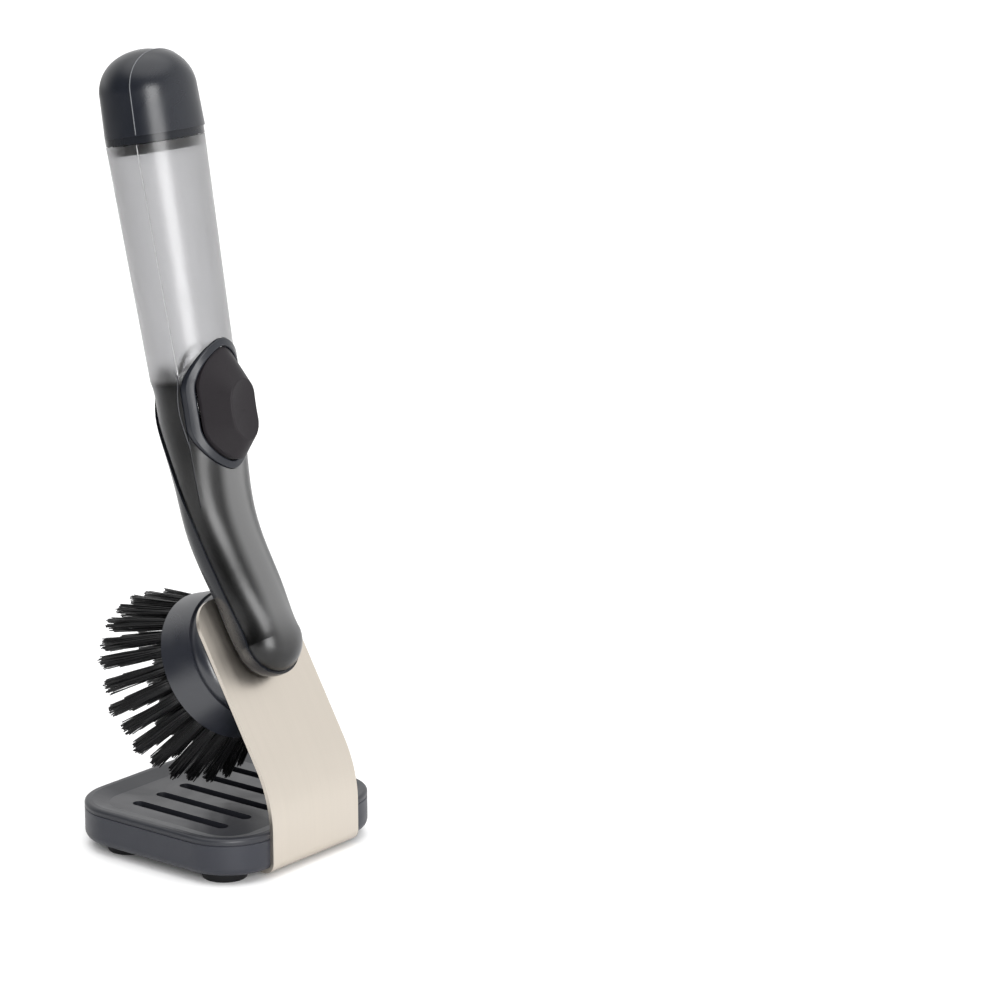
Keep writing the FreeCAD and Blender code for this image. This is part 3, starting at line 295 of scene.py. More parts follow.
class EffectGroups:
    """Surface effects that several finishes share, each one shader node group."""

    GRAIN = {"Detail": 2.0, "Roughness": 0.6}
    CELL_SHARE = 0.5
    MOTTLE = {"Detail": 3.0}
    ACROSS = ("Across x", "Across y", "Across z")
    FINE_LINES = {"Scale": 1.0, "Detail": 3.0, "Roughness": 0.7}
    FINE_SHARE = 0.65
    WIDE_LINES = {"Scale": 1.0, "Detail": 2.0}
    WIDE_SHARE = 0.35
    WIDENING = 0.22
    FILM = {"Detail": 4.0, "Distortion": 1.2}
    FILM_LOW = 0.38
    FILM_HIGH = 0.66

    def __init__(self) -> None:
        """Build each group once."""
        self.grain = self._grain()
        self.drawn = self._drawn()
        self.handling = self._handling()

    @staticmethod
    def _start(name: str, inputs: dict[str, float],
               outputs: tuple[str, ...]) -> tuple[NodeSheet, bpy.types.Node, bpy.types.Node]:
        """Begin a group that reads a position and some values.

        Args:
            name: The group's name.
            inputs: Value inputs and their defaults.
            outputs: Value outputs.

        Returns:
            The sheet, the input node and the output node.
        """
        tree = bpy.data.node_groups.new(name, "ShaderNodeTree")
        tree.interface.new_socket("Position", in_out="INPUT", socket_type="NodeSocketVector")
        for label, value in inputs.items():
            socket = tree.interface.new_socket(label, in_out="INPUT", socket_type="NodeSocketFloat")
            socket.default_value = value
        for label in outputs:
            tree.interface.new_socket(label, in_out="OUTPUT", socket_type="NodeSocketFloat")
        sheet = NodeSheet(tree)
        return sheet, sheet.add("NodeGroupInput"), sheet.add("NodeGroupOutput")

    def _grain(self) -> bpy.types.NodeTree:
        """The fine spark grain of a moulding tool.

        Returns:
            The group, with outputs Height and Mottle.
        """
        scales = {"Scale": 2200.0, "Mottle scale": 90.0}
        sheet, given, result = self._start("mould_grain", scales, ("Height", "Mottle"))
        place, scale = given.outputs["Position"], given.outputs["Scale"]
        fine = sheet.noise(place, Scale=scale, **self.GRAIN)
        cells = sheet.feed(sheet.add("ShaderNodeTexVoronoi"), Vector=place, Scale=scale)
        height = sheet.maths("ADD", fine, sheet.times(cells.outputs["Distance"], self.CELL_SHARE))
        slow = sheet.noise(place, Scale=given.outputs["Mottle scale"], **self.MOTTLE)
        sheet.feed(result, Height=height, Mottle=slow)
        return sheet.tree

    def _drawn(self) -> bpy.types.NodeTree:
        """Fine lines left by a belt, long one way and close the other.

        Returns:
            The group, with outputs Height and Streak.
        """
        plain = dict.fromkeys(self.ACROSS, 1.0)
        sheet, given, result = self._start("belt_lines", plain, ("Height", "Streak"))
        stretch = sheet.point(*(given.outputs[label] for label in self.ACROSS))
        place = sheet.arrow("MULTIPLY", given.outputs["Position"], in1=stretch)
        fine = sheet.noise(place, **self.FINE_LINES)
        wide = sheet.noise(sheet.arrow("SCALE", place, Scale=self.WIDENING), **self.WIDE_LINES)
        streak = sheet.maths("ADD", sheet.times(fine, self.FINE_SHARE), sheet.times(wide, self.WIDE_SHARE))
        sheet.feed(result, Height=fine, Streak=streak)
        return sheet.tree

    def _handling(self) -> bpy.types.NodeTree:
        """Soft patches where a surface has been touched and wiped.

        Returns:
            The group, with the output Film.
        """
        sheet, given, result = self._start("handling_film", {"Scale": 38.0}, ("Film",))
        bent = sheet.noise(given.outputs["Position"], Scale=given.outputs["Scale"], **self.FILM)
        sheet.feed(result, Film=sheet.spread(bent, self.FILM_LOW, self.FILM_HIGH))
        return sheet.tree


EFFECTS = EffectGroups()


@dataclass(frozen=True)
class Finish:
    """What every finish has: a name, a colour and a roughness."""

    name: str
    colour: Triple
    roughness: float

    def start(self) -> tuple[bpy.types.Material, NodeSheet, bpy.types.Node, bpy.types.NodeSocket]:
        """Begin the material.

        Returns:
            The material, its sheet, its surface shader and the position on the piece.
        """
        material = bpy.data.materials.new(self.name)
        material.use_nodes = True
        sheet = NodeSheet(material.node_tree)
        shader = material.node_tree.nodes["Principled BSDF"]
        place = sheet.add("ShaderNodeTexCoord").outputs["Object"]
        return material, sheet, shader, place

    @staticmethod
    def effect(sheet: NodeSheet, group: bpy.types.NodeTree, **inputs: object) -> bpy.types.Node:
        """Place a shared effect in a material.

        Args:
            sheet: The material's sheet.
            group: The effect.
            inputs: The effect's inputs.

        Returns:
            The placed group node.
        """
        return sheet.feed(sheet.add("ShaderNodeGroup", node_tree=group), **inputs)

    def scaled(self, share: float) -> Triple:
        """Make the finish's colour lighter or darker.

        Args:
            share: What each channel is multiplied by.

        Returns:
            The new colour.
        """
        return tuple(channel * share for channel in self.colour)

    def tinted(self, sheet: NodeSheet, mask: bpy.types.NodeSocket, change: float) -> bpy.types.NodeSocket:
        """Vary the finish's colour by a mask.

        Args:
            sheet: The material's sheet.
            mask: A value from 0 to 1.
            change: The share by which the colour falls and rises.

        Returns:
            The colour's socket.
        """
        return sheet.mixed(mask, self.scaled(1 - change), self.scaled(1 + change))

    def roughened(self, sheet: NodeSheet, mask: bpy.types.NodeSocket, low: float, high: float,
                  change: float) -> bpy.types.NodeSocket:
        """Vary the finish's roughness by a mask.

        Args:
            sheet: The material's sheet.
            mask: The value to vary it by.
            low: The mask's value where the surface is smoothest.
            high: The mask's value where it is roughest.
            change: By how much the roughness falls and rises.

        Returns:
            The roughness's socket.
        """
        return sheet.spread(mask, low, high, self.roughness - change, self.roughness + change)

    @staticmethod
    def raised(sheet: NodeSheet, shader: bpy.types.Node, height: bpy.types.NodeSocket, depth: float) -> None:
        """Press a height pattern into the surface.

        Args:
            sheet: The material's sheet.
            shader: The surface shader.
            height: The pattern.
            depth: The pattern's depth in metres.
        """
        bump = sheet.feed(sheet.add("ShaderNodeBump"), Height=height, Strength=1.0, Distance=depth)
        sheet.feed(shader, Normal=bump.outputs[0])


@dataclass(frozen=True)
class MouldedPlastic(Finish):
    """Moulded plastic with tool grain and a faint film from handling."""

    grain_scale: float = 2200.0
    grain_depth: float = 0.000012
    mottle: float = 0.10
    film: float = 0.06
    shine: float = 0.3

    def material(self) -> bpy.types.Material:
        """Build the material.

        Returns:
            The material.
        """
        material, sheet, shader, place = self.start()
        grain = self.effect(sheet, EFFECTS.grain, Position=place, Scale=self.grain_scale)
        touched = self.effect(sheet, EFFECTS.handling, Position=place)
        sheet.feed(shader, Base_Color=self.tinted(sheet, grain.outputs["Mottle"], self.mottle))
        rough = self.roughened(sheet, touched.outputs["Film"], 0.0, 1.0, self.film)
        sheet.feed(shader, Roughness=rough, Specular_IOR_Level=self.shine)
        self.raised(sheet, shader, grain.outputs["Height"], self.grain_depth)
        return material


@dataclass(frozen=True)
class BrushedSteel(Finish):
    """Stainless steel drawn over a belt."""

    flow: Flow = Flow.ALONG_STRIP
    line_depth: float = 0.000006
    line_tint: float = 0.07
    line_change: float = 0.05
    film_scale: float = 26.0
    film_change: float = 0.03

    def material(self) -> bpy.types.Material:
        """Build the material.

        Returns:
            The material.
        """
        material, sheet, shader, place = self.start()
        across = dict(zip(EFFECTS.ACROSS, self.flow.value))
        lines = self.effect(sheet, EFFECTS.drawn, Position=place, **across)
        touched = self.effect(sheet, EFFECTS.handling, Position=place, Scale=self.film_scale)
        streak = lines.outputs["Streak"]
        sheet.feed(shader, Base_Color=self.tinted(sheet, streak, self.line_tint), Metallic=1.0)
        rough = self.roughened(sheet, streak, NOISE_LOW, NOISE_HIGH, self.line_change)
        film = sheet.times(touched.outputs["Film"], self.film_change)
        sheet.feed(shader, Roughness=sheet.maths("ADD", rough, film))
        self.raised(sheet, shader, lines.outputs["Height"], self.line_depth)
        return material


@dataclass(frozen=True)
class ClearPlastic(Finish):
    """Clear smoked plastic with a satin skin, stained dark in the neck and polished down the neck's front.

    Heights are in metres up the tube from its foot, and the polish's edges in metres from the middle. The
    tint is darkened towards grazing edges as painted shade.
    """

    dark_below: float
    clear_above: float
    stain: Triple = (0.012, 0.013, 0.017)
    # Painted shade: the share of the tint left at grazing edges.
    rim_shade: float = 0.62
    rim_shade_blend: float = 0.5
    rim_shade_power: float = 3.0
    bend: float = 1.49
    film_scale: float = 52.0
    film_change: float = 0.03
    polish: float = 0.0
    polish_bend: float = 2.4
    polish_matter: float = 0.40
    polish_below: float = 0.060
    polish_from: float = -0.052
    polish_fade: float = 0.020
    polish_edge: float = 0.0072
    polish_middle: float = 0.0030

    def material(self) -> bpy.types.Material:
        """Build the material.

        Returns:
            The material.
        """
        material, sheet, shader, place = self.start()
        touched = self.effect(sheet, EFFECTS.handling, Position=place, Scale=self.film_scale)
        from_foot = sheet.arrow("SUBTRACT", place, in1=TUBE_FOOT * MM)
        height = sheet.arrow("DOT_PRODUCT", from_foot, in1=TUBE_UP)
        clear = sheet.spread(height, self.dark_below, self.clear_above, ends=Ends.SOFT)
        # Painted shade: the smoke colour darkens towards grazing edges.
        facing = sheet.feed(sheet.add("ShaderNodeLayerWeight"), Blend=self.rim_shade_blend).outputs["Facing"]
        rim_shade_mask = sheet.maths("POWER", facing, self.rim_shade_power)
        smoke = sheet.mixed(rim_shade_mask, self.colour, self.scaled(self.rim_shade))
        sheet.feed(shader, Base_Color=sheet.mixed(clear, self.stain, smoke))
        shader.inputs["Transmission Weight"].default_value = 1.0
        shader.inputs["IOR"].default_value = self.bend
        roughest = self.roughness + self.film_change
        rough = sheet.spread(touched.outputs["Film"], 0.0, 1.0, self.roughness, roughest)
        sheet.feed(shader, Roughness=rough)
        if self.polish:
            self._polish(sheet, shader, place, height)
        return material

    def _polish(self, sheet: NodeSheet, shader: bpy.types.Node, place: bpy.types.NodeSocket,
                height: bpy.types.NodeSocket) -> None:
        """Polish the front of the neck, under the button.

        Args:
            sheet: The material's sheet.
            shader: The surface shader.
            place: The position on the piece.
            height: The height along the tube.
        """
        across = sheet.feed(sheet.add("ShaderNodeSeparateXYZ"), Vector=place).outputs["X"]
        weight = self.polish
        for source, start, end in (
            (height, self.polish_below, self.polish_below - self.polish_fade),
            (height, self.polish_from, self.polish_from + self.polish_fade),
            (sheet.maths("ABSOLUTE", across), self.polish_edge, self.polish_middle),
        ):
            weight = sheet.times(sheet.spread(source, start, end, ends=Ends.SOFT), weight)
        sheet.feed(shader, Coat_Weight=weight, Coat_Roughness=self.polish_matter, Coat_IOR=self.polish_bend)


@dataclass(frozen=True)
class SoftRubber(Finish):
    """Matt rubber with a velvety light at its edges and a fine peel."""

    sheen: float
    sheen_roughness: float = 0.45
    shine: float = 0.25
    mottle: float = 0.12
    mottle_change: float = 0.05
    peel_scale: float = 1500.0
    peel_depth: float = 0.00002

    def material(self) -> bpy.types.Material:
        """Build the material.

        Returns:
            The material.
        """
        material, sheet, shader, place = self.start()
        grain = self.effect(sheet, EFFECTS.grain, Position=place, Scale=self.peel_scale)
        mottle = grain.outputs["Mottle"]
        sheet.feed(shader, Base_Color=self.tinted(sheet, mottle, self.mottle), Sheen_Weight=self.sheen)
        sheet.feed(shader, Sheen_Roughness=self.sheen_roughness, Specular_IOR_Level=self.shine)
        rough = self.roughened(sheet, mottle, NOISE_LOW, NOISE_HIGH, self.mottle_change)
        sheet.feed(shader, Roughness=rough)
        self.raised(sheet, shader, grain.outputs["Height"], self.peel_depth)
        return material


CHARCOAL = MouldedPlastic("charcoal_plastic_look", (0.018, 0.0195, 0.027), 0.42, shine=0.4)
TRAY = MouldedPlastic("tray_plastic_look", (0.018, 0.019, 0.024), 0.40, shine=0.40)
GLOSSY_TRIM = MouldedPlastic("glossy_trim_look", (0.008, 0.009, 0.012), 0.26, grain_depth=0.000004)
CAP_SATIN = MouldedPlastic("cap_satin_look", (0.008, 0.0095, 0.014), 0.33, shine=0.42)
HEAD_SATIN = MouldedPlastic("head_satin_look", (0.012, 0.0135, 0.019), 0.33, shine=0.80)
CORE = MouldedPlastic("core_plastic_look", (0.006, 0.0065, 0.008), 0.40, grain_depth=0.000001, shine=0.1)
STRIP_STEEL = BrushedSteel("strip_steel_look", (0.55, 0.503, 0.443), 0.34)
SCREW_STEEL = BrushedSteel("screw_steel_look", (0.56, 0.55, 0.53), 0.28, flow=Flow.ROUND_WIRE)
SPRING_STEEL = BrushedSteel("spring_steel_look", (0.50, 0.50, 0.50), 0.24, flow=Flow.ROUND_WIRE)
# Both clear plastics darken towards grazing edges as painted shade.
CLEAR_SMOKE = ClearPlastic("clear_smoke_look", (0.63, 0.63, 0.638), 0.29, dark_below=0.0465,
                           clear_above=0.0495, rim_shade=0.36, polish=0.80)
CORE_SMOKE = ClearPlastic("core_smoke_look", (0.90, 0.902, 0.91), 0.12, dark_below=0.0480, clear_above=0.0500)
# Painted highlights: light colours on the edge beads stand in for the light that the crease and the cap's
# ledge catch.
CREASE_HIGHLIGHT = MouldedPlastic("crease_highlight_look", (0.50, 0.50, 0.505), 0.30, grain_depth=0.000001)
CREASE_DIM_HIGHLIGHT = MouldedPlastic("crease_dim_highlight_look", (0.045, 0.046, 0.052), 0.30, grain_depth=0.000001)
# Painted highlight along the cap's ledge.
CAP_EDGE_HIGHLIGHT = MouldedPlastic("cap_edge_highlight_look", (0.13, 0.135, 0.145), 0.30, grain_depth=0.000001)
PAD_RUBBER = SoftRubber("pad_rubber_look", (0.010, 0.008, 0.010), 0.60, sheen=0.04)
FOOT_RUBBER = SoftRubber("foot_rubber_look", (0.008, 0.008, 0.009), 0.60, sheen=0.03, shine=0.15)
SEAL_RUBBER = SoftRubber("seal_rubber_look", (0.020, 0.020, 0.021), 0.50, sheen=0.05)
NYLON = MouldedPlastic("bristle_nylon_look", (0.006, 0.006, 0.0065), 0.34, grain_scale=5000.0,
                       grain_depth=0.000002)


class Wardrobe:
    """Holds one material for each finish and puts it on pieces."""

    def __init__(self) -> None:
        """Start with nothing built."""
        self.made: dict[str, bpy.types.Material] = {}

    def of(self, finish: Finish) -> bpy.types.Material:
        """Find or build a finish's material.

        Args:
            finish: The finish.

        Returns:
            Its material.
        """
        if finish.name not in self.made:
            self.made[finish.name] = finish.material()
        return self.made[finish.name]

    def dress(self, node: str, finish: Finish) -> None:
        """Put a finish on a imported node.

        Args:
            node: The node's name.
            finish: The finish.
        """
        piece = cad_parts[node]
        for slot in piece.material_slots:
            slot.link = "OBJECT"
            slot.material = self.of(finish)
        log.info("%s wears %s", node, finish.name)


@dataclass
class Assembly:
    """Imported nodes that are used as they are, and the finish that each one wears."""

    finishes: dict[str, Finish]

    def build(self, wardrobe: Wardrobe) -> None:
        """Dress the nodes.

        Args:
            wardrobe: The materials.
        """
        for node, finish in self.finishes.items():
            wardrobe.dress(node, finish)


@dataclass
class DrainerStand(Assembly):
    """The steel strip, the tub, its slotted tray, feet and screws."""

    finishes: dict[str, Finish] = field(default_factory=lambda: {
        "steel_bracket": STRIP_STEEL,
        "base_shell": CHARCOAL,
        "drip_tray": TRAY,
        "rubber_feet": FOOT_RUBBER,
        "bracket_screws": SCREW_STEEL,
    })


@dataclass
class Handle(Assembly):
    """The clear shell, the dark neck and what shows through them."""

    finishes: dict[str, Finish] = field(default_factory=lambda: {
        "handle_shell": CLEAR_SMOKE,
        "neck_cover": GLOSSY_TRIM,
        "valve_housing": CORE_SMOKE,
        "outlet_tube": CORE,
        "valve_seat": SEAL_RUBBER,
        "stem_seal": SEAL_RUBBER,
        "button_cup": CORE_SMOKE,
        "button_bezel": CAP_SATIN,
    })


@dataclass
class ThumbButton(Assembly):
    """The soft pad and its stem."""

    finishes: dict[str, Finish] = field(default_factory=lambda: {
        "button_pad": PAD_RUBBER,
        "button_plunger": CORE,
    })


@dataclass
class FillCap(Assembly):
    """The domed cap, its plug and seal."""

    finishes: dict[str, Finish] = field(default_factory=lambda: {
        "fill_cap": CAP_SATIN,
        "cap_plug": GLOSSY_TRIM,
        "cap_seal": SEAL_RUBBER,
    })


@dataclass
class FineEdges:
    """The fine moulded edges down the clear shell and over the cap, coloured lighter than their surroundings
    as painted highlights, in millimetres.
    """

    front: float = 6.0
    bow: float = 1.6
    bow_at: float = 38.0
    bow_reach: float = 15.0
    breaks: tuple[float, ...] = (4.5, 50.0, 128.2)
    # Painted highlights: a dim one down the neck's crease and a bright one down the tube's.
    finishes: tuple[Finish, ...] = (CREASE_DIM_HIGHLIGHT, CREASE_HIGHLIGHT)
    cap_front: float = 6.75
    cap_low: float = 131.7
    cap_shoulder: float = 145.2
    cap_turns: int = 48
    step: float = 1.5
    outside: float = 60.0
    radius: float = 0.2
    sides: int = 8

    def build(self, wardrobe: Wardrobe) -> None:
        """Lay a fine rounded edge along each line.

        Args:
            wardrobe: The materials.
        """
        shell = self._skin("handle_shell")
        # Each crease bead wears a painted highlight colour.
        stretches = zip(("neck", "tube"), self.breaks[:-1], self.breaks[1:], self.finishes)
        for label, low, high, finish in stretches:
            lines = [self._down_tube(shell, side, low, high) for side in (-1.0, 1.0)]
            self._lay(f"crease_{label}", lines, wardrobe.of(finish), Body.WAND)
        # The cap's ledge bead wears a painted highlight colour.
        arch = self._over_cap(self._skin("fill_cap"))
        self._lay("cap_edge", [arch], wardrobe.of(CAP_EDGE_HIGHLIGHT), Body.CAP)

    @staticmethod
    def _skin(node: str) -> BVHTree:
        """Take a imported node's surface, to look up points on.

        Args:
            node: The node's name.

        Returns:
            The surface.
        """
        return BVHTree.FromObject(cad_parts[node], bpy.context.evaluated_depsgraph_get())

    def _front_at(self, height: float) -> float:
        """Give the edge's distance to the front of the axis, less where it passes the bezel.

        Args:
            height: The place along the tube.

        Returns:
            The distance.
        """
        share = min(abs(height - self.bow_at) / self.bow_reach, 1.0)
        return self.front - self.bow * math.cos(share * math.pi / 2) ** 2

    def _met(self, skin: BVHTree, inside: Vector, heading: Vector) -> Vector:
        """Find where a line out of the object leaves its surface.

        Args:
            skin: The surface.
            inside: A point inside it.
            heading: The line's direction.

        Returns:
            The point on the surface.
        """
        return skin.ray_cast((inside + heading * self.outside) * MM, -heading)[0] / MM

    def _down_tube(self, skin: BVHTree, side: float, low: float, high: float) -> list[Vector]:
        """Follow one side of the shell.

        Args:
            skin: The shell's surface.
            side: -1 for the left side and 1 for the right.
            low: Where the edge starts along the tube.
            high: Where it ends.

        Returns:
            The points of the line.
        """
        count = round((high - low) / self.step)
        heights = [low + (high - low) * number / count for number in range(count + 1)]
        levels = [TUBE_FOOT + TUBE_UP * height + TUBE_OUT * self._front_at(height) for height in heights]
        return [self._met(skin, level, TUBE_ACROSS * side) for level in levels]

    def _over_cap(self, skin: BVHTree) -> list[Vector]:
        """Follow the cap's ledge up one side, over the top and down the other.

        Args:
            skin: The cap's surface.

        Returns:
            The points of the line.
        """
        axis = TUBE_FOOT + TUBE_OUT * self.cap_front
        rise = self.cap_shoulder - self.cap_low
        count = round(rise / self.step)
        heights = [self.cap_low + rise * number / count for number in range(count)]
        left = [self._met(skin, axis + TUBE_UP * height, -TUBE_ACROSS) for height in heights]
        right = [self._met(skin, axis + TUBE_UP * height, TUBE_ACROSS) for height in reversed(heights)]
        top = []
        for number in range(self.cap_turns + 1):
            angle = math.pi * number / self.cap_turns
            heading = TUBE_UP * math.sin(angle) - TUBE_ACROSS * math.cos(angle)
            top.append(self._met(skin, axis + TUBE_UP * self.cap_shoulder, heading))
        return left + top + right

    def _lay(self, name: str, lines: list[list[Vector]], look: bpy.types.Material, body: Body) -> None:
        """Make one piece of the edges along some lines.

        Args:
            name: The piece's name.
            lines: The points of each line.
            look: The material.
            body: The body that the piece rides on.
        """
        points, faces = [], []
        for line in lines:
            self._round(line, points, faces)
        mesh = bpy.data.meshes.new(name)
        mesh.from_pydata(points, [], faces)
        mesh.shade_smooth()
        mesh.materials.append(look)
        piece = stood(name, mesh)
        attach(piece, body.value)
        log.info("%s has %d lines", name, len(lines))

    def _round(self, line: list[Vector], points: list[Triple], faces: list[tuple[int, ...]]) -> None:
        """Add one edge's rings of points and its faces.

        Args:
            line: The points of the line.
            points: The list of points to add to.
            faces: The list of faces to add to.
        """
        first = len(points)
        for number, middle in enumerate(line):
            along = line[min(number + 1, len(line) - 1)] - line[max(number - 1, 0)]
            beside = along.cross(TUBE_OUT).normalized()
            for turn in range(self.sides):
                angle = math.tau * turn / self.sides
                ring = (beside * math.cos(angle) + TUBE_OUT * math.sin(angle)) * self.radius
                points.append(tuple((middle + ring) * MM))
        for number in range(len(line) - 1):
            here = first + number * self.sides
            there = here + self.sides
            for turn in range(self.sides):
                after = (turn + 1) % self.sides
                faces.append((here + turn, there + turn, there + after, here + after))
        last = first + (len(line) - 1) * self.sides
        faces.append(tuple(range(first, first + self.sides)))
        faces.append(tuple(range(last + self.sides - 1, last - 1, -1)))


@dataclass
class ReturnSpring:
    """The coil under the pad."""

    name: str = "spring_coil"
    node: str = "button_spring"
    joint: str = "button_press"
    travel: float = 3.0 * MM
    weld: float = 0.001 * MM
    axis: Vector = field(default_factory=TUBE_OUT.copy)

    def build(self, wardrobe: Wardrobe) -> None:
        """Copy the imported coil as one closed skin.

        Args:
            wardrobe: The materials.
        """
        coil = bmesh.new()
        coil.from_mesh(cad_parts[self.node].data)
        bmesh.ops.remove_doubles(coil, verts=coil.verts, dist=self.weld)
        mesh = bpy.data.meshes.new(self.name)
        coil.to_mesh(mesh)
        coil.free()
        mesh.shade_smooth()
        mesh.materials.clear()
        mesh.materials.append(wardrobe.of(SPRING_STEEL))
        piece = stood(self.name, mesh)
        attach(piece, Body.WAND.value)
        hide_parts(self.node)
        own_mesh(piece)


@dataclass(frozen=True)
class TuftRing:
    """One ring of tufts, with its sizes in millimetres."""

    node: str
    tufts: int
    root_circle: float
    tip_circle: float
    filaments: int
    seed: int


class TuftTree:
    """The node tree that plants tufts of filaments in a ring."""

    INPUTS = {
        "NodeSocketInt": ("Tufts", "Filaments", "Seed"),
        "NodeSocketFloat": ("Root circle", "Tip circle", "Root spread", "Tip spread", "Root depth",
                            "Tip depth", "Thickness", "Unruly"),
        "NodeSocketMaterial": ("Material",),
    }
    BOW = "bow"
    ALONG = "along"
    BOW_REACH = 2.4
    SIDES = 6
    SEGMENTS = 3

    def __init__(self) -> None:
        """Build the tree."""
        self.tree = bpy.data.node_groups.new("tuft_ring", "GeometryNodeTree")
        for kind, names in self.INPUTS.items():
            for name in names:
                self.tree.interface.new_socket(name, in_out="INPUT", socket_type=kind)
        self.tree.interface.new_socket("Geometry", in_out="OUTPUT", socket_type="NodeSocketGeometry")
        self.sheet = NodeSheet(self.tree)
        self.given = self.sheet.add("NodeGroupInput").outputs
        self.unruly = self.given["Unruly"]
        self.less = self.sheet.times(self.unruly, -1.0)
        self._plant()

    def _random(self, low: object, high: object, key: bpy.types.NodeSocket,
                draw: Draw) -> bpy.types.NodeSocket:
        """Add a random value that is the same each run.

        Args:
            low: The lowest value.
            high: The highest value.
            key: What the value differs by.
            draw: Which of the ring's random values it is.

        Returns:
            The value's socket.
        """
        node = self.sheet.add("FunctionNodeRandomValue", data_type="FLOAT")
        seed = self.sheet.maths("ADD", self.given["Seed"], float(draw.value))
        return self.sheet.feed(node, Min=low, Max=high, ID=key, Seed=seed).outputs["Value"]

    def _ring_point(self, out: object, side: object, depth: object,
                    angle: bpy.types.NodeSocket) -> bpy.types.NodeSocket:
        """Place a point from its distance out, its distance sideways and its depth.

        Args:
            out: The distance from the brush axis.
            side: The distance along the ring.
            depth: The distance down the brush axis.
            angle: The tuft's angle round the axis.

        Returns:
            The point's socket.
        """
        sheet = self.sheet
        cosine, sine = sheet.maths("COSINE", angle), sheet.maths("SINE", angle)
        x = sheet.maths("SUBTRACT", sheet.times(out, cosine), sheet.times(side, sine))
        y = sheet.maths("ADD", sheet.times(out, sine), sheet.times(side, cosine))
        return sheet.point(x, y, sheet.times(depth, -1.0))

    def _ends(self, index: bpy.types.NodeSocket,
              tuft: bpy.types.NodeSocket) -> tuple[bpy.types.NodeSocket, bpy.types.NodeSocket]:
        """Place each filament's root and tip.

        Args:
            index: The filament's number in the ring.
            tuft: The tuft's number in the ring.

        Returns:
            The sockets of the root and the tip.
        """
        sheet, given, drawn = self.sheet, self.given, self._random
        less, unruly = self.less, self.unruly
        angle = sheet.times(sheet.maths("DIVIDE", tuft, given["Tufts"]), math.tau)
        reach = sheet.maths("SQRT", drawn(0.0, 1.0, index, Draw.REACH))
        bearing = drawn(0.0, math.tau, index, Draw.BEARING)
        out = sheet.times(reach, sheet.maths("COSINE", bearing))
        side = sheet.times(reach, sheet.maths("SINE", bearing))
        lean_out, lean_side, short = (
            sheet.maths("ADD", drawn(low, unruly, tuft, whole), drawn(low, unruly, index, single))
            for low, whole, single in (
                (less, Draw.TUFT_OUT, Draw.OUT),
                (less, Draw.TUFT_SIDE, Draw.SIDE),
                (0.0, Draw.TUFT_SHORT, Draw.SHORT),
            ))
        root = self._ring_point(
            sheet.maths("ADD", given["Root circle"], sheet.times(out, given["Root spread"])),
            sheet.times(side, given["Root spread"]), given["Root depth"], angle)
        tip_out = sheet.maths("ADD", given["Tip circle"], sheet.times(out, given["Tip spread"]))
        tip = self._ring_point(
            sheet.maths("ADD", tip_out, lean_out),
            sheet.maths("ADD", sheet.times(side, given["Tip spread"]), lean_side),
            sheet.maths("SUBTRACT", given["Tip depth"], short), angle)
        return root, tip

    def _plant(self) -> None:
        """Join the nodes: points, filaments on them, their bend and the material."""
        sheet, given = self.sheet, self.given
        total = sheet.times(given["Tufts"], given["Filaments"])
        points = sheet.feed(sheet.add("GeometryNodePoints"), Count=total)
        index = sheet.add("GeometryNodeInputIndex").outputs[0]
        tuft = sheet.maths("FLOOR", sheet.maths("DIVIDE", index, given["Filaments"]))
        root, tip = self._ends(index, tuft)
        way = sheet.arrow("SUBTRACT", tip, in1=root)
        turn = sheet.feed(sheet.add("FunctionNodeAlignRotationToVector", axis="Z"), Vector=way)
        sized = sheet.point(given["Thickness"], given["Thickness"], sheet.arrow("LENGTH", way))
        rooted = sheet.feed(sheet.add("GeometryNodeSetPosition"), Geometry=points.outputs[0], Position=root)
        draws = (Draw.BOW_X, Draw.BOW_Y, Draw.BOW_Z)
        bow = sheet.point(*(self._random(self.less, self.unruly, index, draw) for draw in draws))
        bowed = sheet.add("GeometryNodeStoreNamedAttribute", data_type="FLOAT_VECTOR", domain="POINT")
        sheet.feed(bowed, Geometry=rooted.outputs[0], Name=self.BOW, Value=bow)
        planted = sheet.feed(sheet.add("GeometryNodeInstanceOnPoints"), Points=bowed.outputs[0],
                             Instance=self._filament(), Rotation=turn.outputs[0], Scale=sized)
        real = sheet.feed(sheet.add("GeometryNodeRealizeInstances"), Geometry=planted.outputs[0])
        along_read = sheet.add("GeometryNodeInputNamedAttribute", data_type="FLOAT")
        bow_read = sheet.add("GeometryNodeInputNamedAttribute", data_type="FLOAT_VECTOR")
        along = sheet.feed(along_read, Name=self.ALONG).outputs["Attribute"]
        bow = sheet.feed(bow_read, Name=self.BOW).outputs["Attribute"]
        hump = sheet.times(along, sheet.maths("SUBTRACT", 1.0, along))
        bend = sheet.arrow("SCALE", bow, Scale=sheet.times(hump, self.BOW_REACH))
        bent = sheet.feed(sheet.add("GeometryNodeSetPosition"), Geometry=real.outputs[0], Offset=bend)
        dressed = sheet.feed(sheet.add("GeometryNodeSetMaterial"), Geometry=bent.outputs[0],
                             Material=given["Material"])
        sheet.feed(sheet.add("NodeGroupOutput"), Geometry=dressed.outputs[0])

